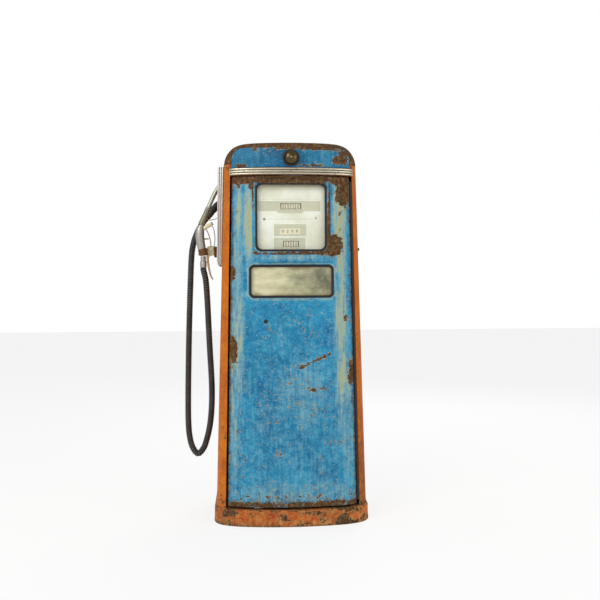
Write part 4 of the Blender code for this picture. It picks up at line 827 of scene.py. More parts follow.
def makeDoor():
    d = door

    def outside(x, z, deep=0.0):
        return (x, frontY(x, z) + deep, z)

    loops = [lay(doorOutline(inset), outside, deep) for inset, deep in quarter(d["roll"], 5)]
    sheet = cabinet["sheet"]
    inner = doorOutline(sheet)
    parts = [bands(lay(inner, outside, d["flange"]), lay(doorOutline(0.0), outside, d["flange"]), *loops)]
    windows = [d["dial"], d["sign"]]
    lock = circle(*d["lock"])
    face = doorOutline(d["roll"])
    lip = 0.005
    parts.append(skin(face, [rounded(*w[0], grow=lip) for w in windows] + [lock], d["grid"], outside))
    parts.append(skin(inner, [rounded(*w[0], grow=sheet) for w in windows] + [lock], 0.05,
                      lambda x, z: outside(x, z, sheet)))
    parts.append(bands(lay(inner, outside, d["flange"]), lay(inner, outside, sheet)))
    parts.append(bands(lay(lock, outside), lay(lock, outside, sheet)))
    for recess, opening, depth in windows:
        rings = []
        hole, edge = rounded(*opening), rounded(*recess)
        swell = rounded(*recess, grow=lip)
        # a small raised bead, then the sloped reveal down to the glazing rubber
        for t in (0.0, 0.25, 0.5, 0.75, 1.0):
            rise = 0.0016 * math.sin(math.pi * t) - 0.0012 * t
            rings.append([outside(a[0] + (b[0] - a[0]) * t, a[1] + (b[1] - a[1]) * t, -rise)
                          for a, b in zip(swell, edge)])
        for t in (0.12, 0.3, 0.5, 0.7, 0.88, 1.0):
            s = t ** 0.9
            ring = []
            for a, b in zip(edge, hole):
                x, z = a[0] + (b[0] - a[0]) * t, a[1] + (b[1] - a[1]) * t
                ring.append((x, (frontY(x, z) + 0.0012) * (1 - s) + (frontY(0, z) + depth) * s, z))
            rings.append(ring)
        back = [(x, frontY(0, z) + depth + sheet, z) for x, z in hole]
        rings += [back, lay(rounded(*recess, grow=sheet), outside, sheet)]
        parts.append(bands(*rings))
    piece = makePiece("doorShell", parts, "blue", "door", ["front_door"], sharp=35)
    shade(piece, wear=doorWear, grime=doorGrime,
          fade=lambda p: spotSum(doorFade, p.x, p.z) + 0.7 * (0.011 < windowReach(p) < 0.016 and p.z < 1.53))
    return piece


makeDoor()
print("door made")

# side panels
sidePanels = {
    "left": {"side": -1, "groove": 0.008}, "right": {"side": 1, "groove": 0.013},
    "fold": 0.004, "return": 0.018, "rows": 76, "lap": 0.081,
    "pocket": (-0.015, 0.038, 1.492, 1.612), "outletHole": (*outletAt, 0.0185),
    "switchHole": (0.022, 1.242, 0.009), "crankHole": (0.0, 1.318, 0.0085),
    "high": 0.89, "mid": 0.91,  # how far out the skin stands at the holes, as a share of the foot
}


def sidePath(z, groove):
    # plan line of a side panel: front return, small fold, corner, flat side, rear corner, rear lap
    _, radius, cx, cy = cornerArc()
    fold, rear = sidePanels["fold"], cabinet["rearCorner"]
    start = (doorHalf(z) + groove) / shrink(z)
    path = [Vector((start, bow(start) + sidePanels["return"] * (1 - i / 2) + fold * i / 2)) for i in range(3)]
    path += [Vector((start + across, bow(start + across) + deep)) for across, deep in quarter(fold, 5)[1:5]]
    first = math.asin((start + fold - cx) / radius)
    last = cabinet["back"] - rear
    flats = arc(cx, cy, radius, math.degrees(first) - 90, 0, 16)
    flats += straight((halfWidth, cy), (halfWidth, last), 18)[1:]
    flats += arc(halfWidth - rear, last, rear, 0, 90, 9)
    flats += [(halfWidth - rear - (sidePanels["lap"] - rear) * i / 2, cabinet["back"]) for i in (1, 2)]
    return path + [Vector(p) for p in flats]


def thicken(path, thick):
    inner = []
    for i, p in enumerate(path):
        before = (p - path[i - 1]).normalized() if i else (path[1] - p).normalized()
        after = (path[i + 1] - p).normalized() if i + 1 < len(path) else before
        left = (Vector((-before.y, before.x)) + Vector((-after.y, after.x))).normalized()
        inner.append(p + left * thick / max(0.3, left.dot(Vector((-after.y, after.x)))))
    return list(path) + inner[::-1]


def cut(piece, cutters):
    # exact cuts, kept as plain mesh
    tools = []
    for points, faces in cutters:
        mesh = bpy.data.meshes.new("cutter")
        mesh.from_pydata(points, [], faces)
        tool = bmesh.new()
        tool.from_mesh(mesh)
        bmesh.ops.recalc_face_normals(tool, faces=tool.faces)
        tool.to_mesh(mesh)
        tool.free()
        cutter = addObject("cutter", mesh)
        step = piece.modifiers.new("Cut", "BOOLEAN")
        step.object, step.operation, step.solver = cutter, "DIFFERENCE", "EXACT"
        tools.append(cutter)
    made = baked(piece)
    piece.modifiers.clear()
    piece.data = made
    for cutter in tools:
        bpy.data.objects.remove(cutter, do_unlink=True)
    made.set_sharp_from_angle(angle=math.radians(38))


def drill(x, hole, axis=(1, 0, 0), reach=0.05):
    # a round cutter through a skin; a hole is its y, its z and its radius
    return turned([(hole[2], -reach), (hole[2], reach)], (x, *hole[:2]), axis)


def panelWear(p):
    foot = 0.42 * (1 - ease(0.08, 0.2, p.z))
    head = 0.4 * ease(1.585, 1.632, p.z)
    lump = 0.5 + 0.5 * noise.noise(Vector((p.x * 5, p.y * 5, p.z * 4)) + Vector((7, 3, 1)))
    front = 0.16 * (1 - ease(-0.2, -0.16, p.y))
    return max(foot, head, front) + 0.34 * ease(0.58, 0.9, lump)


def makeSidePanels():
    s = sidePanels
    for label in ("left", "right"):
        side, groove = s[label]["side"], s[label]["groove"]
        rings = []
        for i in range(s["rows"] + 1):
            z = cabinet["foot"] + (cabinet["seam"] - cabinet["foot"]) * i / s["rows"]
            k = shrink(z)
            rings.append([(side * p.x * k, p.y * k, z) for p in thicken(sidePath(z, groove), cabinet["sheet"])])
        piece = makePiece(label + "SidePanel", [loft(rings)], "orange", "cabinet", ["side_panel_" + label],
                          sharp=38)
        if side < 0:
            y, half, low, high = s["pocket"]
            slot = rounded(y, (low + high) / 2, 2 * half, high - low, 0.006)
            cutters = [loft([[(x, a, b) for a, b in slot] for x in (-0.37, -0.25)]),
                       drill(wall * s["high"], s["outletHole"]), drill(wall * s["mid"], s["switchHole"])]
        else:
            cutters = [drill(-wall * s["mid"], s["crankHole"])]
        cut(piece, cutters)
        # painted shade on the right panel, away from the key light: a larger fade share, which on the orange is a
        # darker red-brown, and more darkening low down; both panels darken by the door groove with dirt and painted
        # shade, and are darker at the foot
        paintedSideShade = 0.02 if side < 0 else 0.26
        shade(piece, wear=panelWear, grime=lambda p: 0.6 * (1 - ease(0.003, 0.02, abs(p.x) - doorHalf(p.z)))
              * (1 - ease(-0.19, -0.17, p.y)) + 0.35 * (1 - ease(0.07, 0.12, p.z))
              + (side > 0) * 0.42 * (1 - ease(0.2, 0.8, p.z)),
              fade=lambda p: paintedSideShade + 0.35 * (1 - ease(0.15, 0.7, p.z)) * (side > 0) + 0.3 * ease(1.45, 1.6, p.z))


# hood, fascia and bright mouldings
hood = {"corner": 0.095, "frontRoll": 0.022, "backRoll": 0.06, "crown": 0.005, "rows": 16}
fascia = {"low": 1.6135, "high": 1.7025, "margin": 0.0795, "corner": 0.05, "off": 0.0014, "roll": 0.0016,
          "knobZ": 1.655, "hole": 0.0085}
trims = {"low": 1.58, "ridge": 0.0107, "proud": 0.0085, "behind": 0.0468}


def hoodRing(half, part, offset=0.0, crown=0.0):
    h, c = hood, cabinet
    t = math.pi / 2 * part
    z = c["seam"] + 0.0004 + (c["height"] - h["crown"] - c["seam"]) * math.sin(t)
    k, inset, small = shrink(z), 1 - math.cos(t), 1 - crown
    sx = 1 - h["corner"] * inset / halfWidth
    front = 1 - h["frontRoll"] * inset ** 3 / c["front"]
    back = 1 - h["backRoll"] * inset / c["back"]
    lift = (h["crown"] - 0.0004) * (1 - small ** 2) + offset * math.sin(t)
    right = [p + n * offset for p, n in half]
    ring = [(p.x * k * sx * small, p.y * k * (front if p.y < 0 else back) * small, z + lift) for p in right]
    return ring + [(-x, y, z) for x, y, z in ring[-2:0:-1]]


def makeHood():
    half = halfPlan(16, 14, 9, 8)
    parts = [i / hood["rows"] for i in range(hood["rows"] + 1)]
    crowns = (0.12, 0.26, 0.42, 0.58, 0.74, 0.88, 0.96)
    # the foot of the hood is a small rolled hem
    hem = [hoodRing(half, *row) for row in ((0.0, 0.0), (0.012, 0.0009), (0.05, 0.0009), (0.065, 0.0))]
    outer = hem + [hoodRing(half, p) for p in parts[2:]] + [hoodRing(half, 1.0, 0.0, c) for c in crowns]
    inner = [hoodRing(half, p, -cabinet["sheet"]) for p in parts]
    inner += [hoodRing(half, 1.0, -cabinet["sheet"], c) for c in crowns]
    piece = makePiece("hoodShell", [loft(outer[::-1] + inner)], "hood", "cabinet", ["hood"], sharp=50)
    cut(piece, [drill(0, (-0.2, fascia["knobZ"], fascia["hole"]), (0, 1, 0), 0.06)])
    shade(piece, wear=lambda p: 0.58 + 0.16 * ease(1.67, 1.7, p.z), fade=lambda p: 0.35,
          grime=lambda p: 0.3 + 0.3 * (1 - ease(1.633, 1.645, p.z)))


def hoodTurn(z):
    c = cabinet
    return math.asin(max(0.0, min(1.0, (z - c["seam"] - 0.0004) / (c["height"] - hood["crown"] - c["seam"]))))


def upperFrontY(x, z):
    if z <= cabinet["seam"]:
        return frontY(x, z)
    inset = 1 - math.cos(hoodTurn(z))
    k, sx = shrink(z), 1 - hood["corner"] * inset / halfWidth
    roll = 1 - hood["frontRoll"] * inset ** 3 / cabinet["front"]
    return k * roll * bow(min(halfWidth, abs(x) / (k * sx)))


def fasciaOutline(inset):
    half, r = halfWidth - fascia["margin"] - inset, fascia["corner"] - inset
    high, low = fascia["high"] - inset, fascia["low"] + inset
    right, left = (arc(side * (half - r), high - r, r, start, start + 90, 14)[:-1]
                   for side, start in ((1, 0), (-1, 90)))
    return (straight((-half, low), (half, low), 60) + straight((half, low), (half, high - r), 5) + right
            + straight((half - r, high), (r - half, high), 50) + left + straight((-half, high - r), (-half, low), 5))


fasciaRust = [(0.225, 1.648, 0.04, 0.022, 0.95), (0.24, 1.675, 0.03, 0.016, 0.8), (0.12, 1.697, 0.11, 0.009, 0.85),
              (-0.02, 1.698, 0.1, 0.006, 0.62), (-0.225, 1.622, 0.03, 0.01, 0.8), (-0.16, 1.69, 0.016, 0.012, 0.6),
              (0.04, 1.694, 0.03, 0.006, 0.6), (0.09, 1.622, 0.09, 0.007, 0.62)]


def makeFascia():
    f, sheet = fascia, cabinet["sheet"]

    def at(x, z, deep=0.0):
        return (x, upperFrontY(x, z) - f["off"] - sheet + deep, z)

    loops = [lay(fasciaOutline(inset), at, deep) for inset, deep in quarter(f["roll"], 3)]
    hole = circle(0, f["knobZ"], f["hole"])
    rim, face = fasciaOutline(0.0), fasciaOutline(f["roll"])
    parts = [bands(lay(rim, at, sheet), *loops), skin(face, [hole], 0.008, at),
             skin(rim, [hole], 0.03, lambda x, z: at(x, z, sheet)), bands(lay(hole, at), lay(hole, at, sheet))]
    piece = makePiece("fasciaPanel", parts, "fascia", "cabinet", ["front_fascia"], sharp=35)
    shade(piece, wear=lambda p: max(spotSum(fasciaRust, p.x, p.z), 0.36 * ease(1.685, 1.702, p.z)),
          fade=lambda p: 0.1 + 0.35 * (1 - ease(0.0, 0.03, abs(abs(p.x) - 0.15))) * ease(1.62, 1.66, p.z),
          grime=lambda p: 0.3 * ease(1.692, 1.702, p.z)
          + 0.4 * (1 - ease(0.036, 0.046, math.hypot(p.x, p.z - f["knobZ"]))))


def ridges(count, pitch, proud, steps=7, root=0.0008):
    # section of a ridged moulding as (stand-off, rise): half-round ridges with narrow grooves between
    low = proud * 0.42
    points = [(root, 0.0)]
    for i in range(count):
        for n in range(steps + 1):
            t = math.pi * n / steps
            points.append((low + (proud - low) * math.sin(t) ** 0.6, (i + 0.5 - 0.47 * math.cos(t)) * pitch))
    return points + [(root, count * pitch - 0.0006)]


def makeTrims():
    t = trims
    left, right = (doorHalf(t["low"]) + sidePanels[label]["groove"] for label in ("left", "right"))
    rings = []
    for i in range(101):
        x = -left + (left + right) * i / 100
        out = Vector((frontY(x + 0.0001, t["low"]) - frontY(x - 0.0001, t["low"]), -0.0002)).normalized()
        fall = (0.8, 0.97, 1.0)[min(i, 100 - i, 2)]     # the ends are dressed back a little
        rings.append([(x + out.x * max(0.0008, off * fall), frontY(x, t["low"]) + out.y * max(0.0008, off * fall),
                       t["low"] + rise) for off, rise in ridges(3, t["ridge"], t["proud"])])
    piece = makePiece("headTrim", [loft(rings)], "trim", "cabinet", ["front_trim"])

    # the grooves between the ridges darken towards the dark stain: dirt in them and painted shade
    def groove(p):
        phase = ((p.z - t["low"]) / t["ridge"]) % 1.0
        return 1.5 * (1 - ease(0.05, 0.2, min(phase, 1 - phase))) + 0.1
    shade(piece, wear=groove)
    rings = []
    back = cornerArc()[3] + t["behind"]
    for z, wide, out in ((1.17, 0.01, 0.3), (1.174, 0.014, 0.55), (1.182, 0.019, 0.8), (1.196, 0.024, 1.0),
                         (1.4, 0.026, 1.0), (1.628, 0.028, 1.0)):
        x = wall * shrink(z) - 0.0005
        rings.append([(x - wide * rise, back - 0.0005 - y * out, z)
                      for y, rise in [(0.0, 0.0), (0.024, 0.0)]
                      + [(0.0245 + (a - 0.0008) * 0.95, r) for a, r in ridges(3, 1 / 3, 0.0085, 6)]
                      + [(0.006, 1.0), (0.0, 0.85)]])
    piece = makePiece("sideTrim", [loft(rings)], "sideTrim", "cabinet", ["side_trim"])
    shade(piece, wear=lambda p: 0.6 * (1 - ease(1.17, 1.184, p.z)))


# plinth and rear panel
plinth = {"height": 0.075, "proud": 0.009, "wall": 0.006, "floor": 0.006, "lip": 0.008,
          "pipeHole": (-0.1, 0.115, 0.075, 0.055)}
rearPanel = {"low": 0.079, "gap": 0.004, "lap": 0.03, "proud": 0.0004, "grid": 0.02}


def makePlinth():
    half = halfPlan(18, 16, 9, 8)
    p, top = plinth, plinth["height"]
    rings = [planRing(half, z, p["proud"] - inset) for z, inset in ((0.0, 0.003), (0.002, 0.001), (0.006, 0.0))]
    rings += [planRing(half, 0.006 + (top - 0.018) * i / 6, p["proud"] - 0.0012 * math.sin(math.pi * i / 6))
              for i in range(1, 7)]
    for i in range(1, 7):
        t = math.pi / 2 * i / 6
        rings.append(planRing(half, top - 0.012 + 0.012 * math.sin(t), p["proud"] - p["lip"] * (1 - math.cos(t))))
    inner, ledge = p["proud"] - p["wall"], -0.03
    rings += [planRing(half, z, offset) for z, offset in ((top, ledge), (top - 0.005, ledge), (top - 0.006, inner),
                                                          (p["floor"], inner))]
    piece = makePiece("plinthSkirt", [loft(rings)], "plinth", "cabinet", ["base_plinth"])
    x, y, a, b = p["pipeHole"]
    slot = rounded(x, y, 2 * a, 2 * b, 0.012)
    cut(piece, [loft([[(u, v, z) for u, v in slot] for z in (-0.01, 0.02)])])
    spots = [(-0.3, 0.052, 0.018, 0.016, 1.0), (0.3, 0.055, 0.02, 0.016, 0.55), (0.1, 0.06, 0.09, 0.012, 0.4)]
    shade(piece, wear=lambda q: max(spotSum(spots, q.x, q.z) * (q.y < 0), 0.3 * (1 - ease(0.0, 0.02, q.z)),
                                    0.34 * ease(0.06, 0.074, q.z),
                                    0.75 * ease(0.05, 0.55, noise.noise(Vector((q.x * 16, q.y * 16, q.z * 30 + 4))))),
          fade=lambda q: 0.2 + 0.35 * (1 - ease(0.0, 0.05, q.z)),
          grime=lambda q: 0.55 * (1 - ease(0.0, 0.03, q.z)) + 0.3 * ease(0.068, 0.075, q.z)
          + 0.75 * (1 - ease(0.0005, 0.0022, abs(q.x - 0.325))) * (q.y < 0))


def rearHalf(z):
    return (halfWidth - sidePanels["lap"] + rearPanel["lap"]) * shrink(z)


def makeRearPanel():
    r, sheet = rearPanel, cabinet["sheet"]
    low, high = r["low"], cabinet["seam"] - r["gap"]
    corners = [(side * rearHalf(z), z) for side, z in ((-1, low), (1, low), (1, high), (-1, high))]
    outline = [p for a, b, steps in zip(corners, corners[1:] + corners[:1], (24, 60, 24, 60))
               for p in straight(a, b, steps)]
    parts = plate(outline, [], lambda x, z, deep: (x, cabinet["back"] * shrink(z) + r["proud"] + deep, z), sheet, 0.0,
                  (r["grid"], 0.08))
    piece = makePiece("servicePanel", parts, "blue", "cabinet", ["rear_panel"], sharp=35)
    shade(piece, wear=lambda p: max(0.4 * (1 - ease(0.0, 0.02, rearHalf(p.z) - abs(p.x))),
                                    0.6 * (1 - ease(0.08, 0.14, p.z)),
                                    0.34 * ease(0.1, 0.6, noise.noise(Vector((p.x * 4, 5, p.z * 3))))),
          fade=lambda p: 0.45 * ease(-0.3, 0.5, noise.noise(Vector((p.x * 6, 1, p.z * 1.5)))),
          grime=lambda p: 0.5 * (1 - ease(0.08, 0.2, p.z)) + 0.3 * (1 - ease(0.0, 0.012, rearHalf(p.z) - abs(p.x))))


makeSidePanels()
makeHood()
makeFascia()
makeTrims()
makePlinth()
makeRearPanel()
print("cabinet shell made")

# windows, dial and number drums
glazing = {"lip": 0.0025, "out": 0.007, "deep": 0.0086, "slot": 0.002, "edge": 0.0034, "glass": 0.004,
           "gap": 0.0003}
register = {
    "faceY": -0.16, "thick": 0.002, "half": 0.17, "low": 1.222, "high": 1.5515, "print": 0.0004,
    "drumY": -0.13, "drumRadius": 0.026, "drumWidth": 0.0205, "pitch": 0.0225, "digit": 0.013, "raise": 0.0004,
    "drums": (("sale", 4, 1.442), ("volume", 3, 1.272)), "window": 0.0135,
    "bore": 0.0054,
}


def ringFrame(opening, depth, section):
    cx, cz, width, height, radius = opening
    return loft([[(x, frontY(0, z) + depth + behind, z) for x, z in rounded(cx, cz, width, height, radius, grow)]
                 for grow, behind in section], True)


def makeWindows():
    g = glazing
    lip, out, deep, slot, edge = (g[key] for key in ("lip", "out", "deep", "slot", "edge"))
    for label, nodeName in (("dial", "dial_gasket"), ("sign", "ad_gasket")):
        opening, depth = door[label][1:]
        back = depth + cabinet["sheet"] + g["gap"]
        section = [(0.0012 - lip, 0), (out, 0), (out, deep), (-lip, deep), (-lip, deep - slot), (edge, deep - slot),
                   (edge, slot), (-lip, slot), (-lip - 0.0002, 0.0011), (-lip + 0.0003, 0.0004)]
        makePiece(label + "GlazingRubber", [ringFrame(opening, back, section)], "gasket", "door", [nodeName])
    start = back + (deep - g["glass"]) / 2
    parts = plate(rounded(*opening, grow=edge - g["gap"]), [], lambda x, z, deep: (x, frontY(0, z) + deep, z),
                  start, start + g["glass"], (0.008, 0.05))
    piece = makePiece("signGlassPane", parts, "sign", "door", ["ad_glass"], sharp=30)
    cx, cz, w, h = opening[:4]

    # darker towards the pane's edges
    def edgeDirt(p):
        gap = min(w / 2 - abs(p.x - cx), h / 2 - abs(p.z - cz)) + 0.002 + 0.01 * noise.noise(p * 22)
        return 0.85 * (1 - ease(0.0, 0.02, gap))
    shade(piece, grime=edgeDirt)


def slab(outline, holes, near, far):
    # a flat upright plate between two depths, with holes
    return plate(outline, holes, lambda x, z, deep: (x, deep, z), near, far, (0.012, 0.012))


def rectangle(left, right, low, high):
    return [(left, low), (right, low), (right, high), (left, high)]


def digitShape(figure, height, place):
    # one raised figure, cut into short rows so it can follow a drum
    curve = bpy.data.curves.new("figure", "FONT")
    curve.body, curve.size, curve.extrude, curve.resolution_u = str(figure), height / 0.7, 0.5, 3
    curve.align_x, curve.align_y = "CENTER", "CENTER"
    holder = addObject("figure", curve)
    mesh = baked(holder)
    bpy.data.objects.remove(holder, do_unlink=True)
    tool = bmesh.new()
    tool.from_mesh(mesh)
    bmesh.ops.remove_doubles(tool, verts=tool.verts, dist=1e-6)
    for i in range(-2, 3):
        bmesh.ops.bisect_plane(tool, geom=tool.verts[:] + tool.edges[:] + tool.faces[:],
                               plane_co=(0, i * height / 5.5, 0), plane_no=(0, 1, 0), dist=1e-6)
    tool.verts.index_update()
    points = [place(v.co.x, v.co.y, v.co.z + 0.5) for v in tool.verts]
    faces = [tuple(v.index for v in f.verts) for f in tool.faces]
    tool.free()
    return points, faces


def makeDial():
    r = register
    back, face = r["faceY"] + r["thick"], r["faceY"] + r["print"]
    holes = []
    for _, count, z in r["drums"]:
        a = count * r["pitch"] / 2 + 0.002
        holes.append(rectangle(-a, a, z - r["window"], z + r["window"]))
    piece = makePiece("dialPlate", slab(rectangle(-r["half"], r["half"], r["low"], r["high"]), holes, face, back),
                      "dial", "cabinet", ["dial_plate"], sharp=30)
    # painted shade under the top of the window recess and towards the plate's sides
    shade(piece, grime=lambda p: 0.9 * ease(1.5, 1.548, p.z) + 0.3 * ease(0.135, 0.165, abs(p.x)))
    # printed panels round the windows, a trace thicker than the plate
    near = r["faceY"]
    salePanel = [(-0.15, 1.4205), (-0.066, 1.4205), (-0.057, 1.4108), (0.052, 1.4108), (0.059, 1.4205),
                 (0.134, 1.4205), (0.134, 1.465), (-0.15, 1.465)]
    prints = [("saleBand", salePanel, [holes[0]], "band"),
              ("priceBand", rectangle(-0.077, 0.0695, 1.307, 1.361), [rectangle(-0.05, 0.041, 1.315, 1.342)], "band"),
              ("volumeBand", rectangle(-0.077, 0.065, 1.2485, 1.3), [holes[1]], "band"),
              ("priceTiles", rectangle(-0.0494, 0.0404, 1.3156, 1.3414), [], "drum")]
    for name, outline, gaps, look in prints:
        makePiece(name, slab(outline, gaps, near, face - 0.00005), look, "cabinet", sharp=30)
    rules = []
    for left, right, low, high in ((-0.15, 0.134, 1.4634, 1.4646), (-0.066, 0.059, 1.4207, 1.4215),
                                   (-0.052, 0.052, 1.4566, 1.4576), (-0.077, 0.0695, 1.346, 1.3472),
                                   (-0.074, 0.062, 1.292, 1.2932)):
        rules += slab(rectangle(left, right, low, high), [], near - 0.0002, near - 0.00002)
    # tick rows stand where the small print was
    for row, first, last, step, tall in ((1.383, -0.112, 0.108, 0.0088, 0.0022), (1.517, -0.09, 0.092, 0.007, 0.0016),
                                         (1.472, -0.14, 0.126, 0.0125, 0.0016)):
        for i in range(int((last - first) / step) + 1):
            x = first + i * step
            rules += slab(rectangle(x, x + step * (0.35 + 0.3 * (i * 7 % 3) / 2), row, row + tall), [], face - 0.0002,
                          face - 0.00002)
    makePiece("dialRules", rules, "greyInk", "cabinet", sharp=30)
    dots = [turned([(size, 0.0), (size, -0.001), (size * 0.6, -0.0018)], (x, face, z), (0, 1, 0), 20)
            for x, z, size in ((-0.121, 1.384, 0.0062), (0.1135, 1.389, 0.0042), (0.129, 1.399, 0.0018))]
    makePiece("dialScrews", dots, "steel", "cabinet", sharp=30)
    figures = []
    for i, figure in enumerate("0299"):
        x = -0.0045 + (i - 1.5) * 0.021
        figures.append(digitShape(figure, r["digit"], lambda u, v, w, x=x: (x + u, near - 0.0002 * w, 1.3285 + v)))
    makePiece("priceFigures", figures, "ink", "cabinet", sharp=30)


def makeDrums():
    r = register
    rise, radius = r["raise"], r["drumRadius"] - r["raise"]
    for label, count, z in r["drums"]:
        for i in range(count):
            x, half = (i - (count - 1) / 2) * r["pitch"], r["drumWidth"] / 2
            body, bore = f"{label}_{i + 1}", r["bore"]
            profile = [(bore, -half), (radius - 0.0025, -half), (radius, -half + 0.0006), (radius, half - 0.0006),
                       (radius - 0.0025, half), (bore, half)]
            makePiece(f"{label}Drum{i + 1}", [turned(profile, (x, r["drumY"], z), (1, 0, 0), 60, True)], "drum",
                      body, [f"{label}_wheel_{i + 1}"], sharp=35)

            def place(u, v, w, k):
                turn, reach = 2 * math.pi * k / 10 + v / radius, radius - 0.0002 + (rise + 0.0001) * w
                return (x + u, r["drumY"] - reach * math.cos(turn), z + reach * math.sin(turn))
            figures = [digitShape(k, r["digit"], lambda u, v, w, k=k: place(u, v, w, k)) for k in range(10)]
            makePiece(f"{label}Figures{i + 1}", figures, "ink", body, sharp=30)


makeWindows()
makeDial()
makeDrums()
print("windows, dial and drums made")

# fascia knob
knob = {"z": fascia["knobZ"], "ring": 0.038, "radius": 0.031, "shaft": 0.007}


def makeKnob():
    k = knob
    face = upperFrontY(0, k["z"] - k["ring"]) - fascia["off"] - cabinet["sheet"]
    centre = (0, face, k["z"])
    ring = [(k["ring"] - 0.0006, -0.0003), (k["ring"], -0.001), (k["ring"], -0.0036), (k["ring"] - 0.001, -0.0052),
            (k["ring"] - 0.003, -0.006), (0.03, -0.006), (0.029, -0.0054), (0.0085, -0.003), (0.0085, -0.0003)]
    makePiece("knobRing", [turned(ring, centre, (0, 1, 0), 64, True)], "rubber", "cabinet", ["knob_ring"])
    dome = [(k["shaft"], 0.06), (k["shaft"], -0.0062), (0.0285, -0.0066), (0.0302, -0.0078), (k["radius"], -0.01),
            (0.0306, -0.0118)]
    dome += [(0.03 * math.cos(t), -0.0125 - 0.0175 * math.sin(t)) for t in (math.pi / 2 * i / 12 for i in range(12))]
    dome += [(0.0042, -0.0299)]
    piece = makePiece("knobDome", [turned(dome, centre, (0, 1, 0), 64)], "knob", "knob", ["top_knob"])
    shade(piece, wear=lambda p: 0.25 * (1 - ease(0.016, 0.03, math.hypot(p.x, p.z - k["z"]))) - 0.1)
    stud = [(0.0038, -0.0296), (0.0038, -0.0304), (0.003, -0.0309), (0.0012, -0.031)]
    makePiece("knobStud", [turned(stud, centre, (0, 1, 0), 24)], "brass", "knob")


makeKnob()

# nozzle, hook, outlet, switch lever and crank
nozzle = {
    "y": -0.015, "pivot": (0.0481, 1.353), "stem": 1.302,
    "body": ((0.0622, 1.252, 0.0178), (0.0655, 1.259, 0.0192), (0.069, 1.274, 0.0197), (0.0718, 1.292, 0.0203),
             (0.0738, 1.308, 0.0207), (0.0742, 1.324, 0.0208), (0.0738, 1.338, 0.0203), (0.0722, 1.347, 0.0192),
             (0.07, 1.355, 0.0172), (0.0682, 1.362, 0.015), (0.068, 1.3664, 0.0137)),
    "spout": ((0.068, 1.3673), (0.0655, 1.376), (0.056, 1.395), (0.0277, 1.4605), (0.0064, 1.507),
              (-0.022, 1.552), (-0.062, 1.577)),
}


def outward(*stations):
    return [(wall - p[0], nozzle["y"], p[1]) for p in stations]


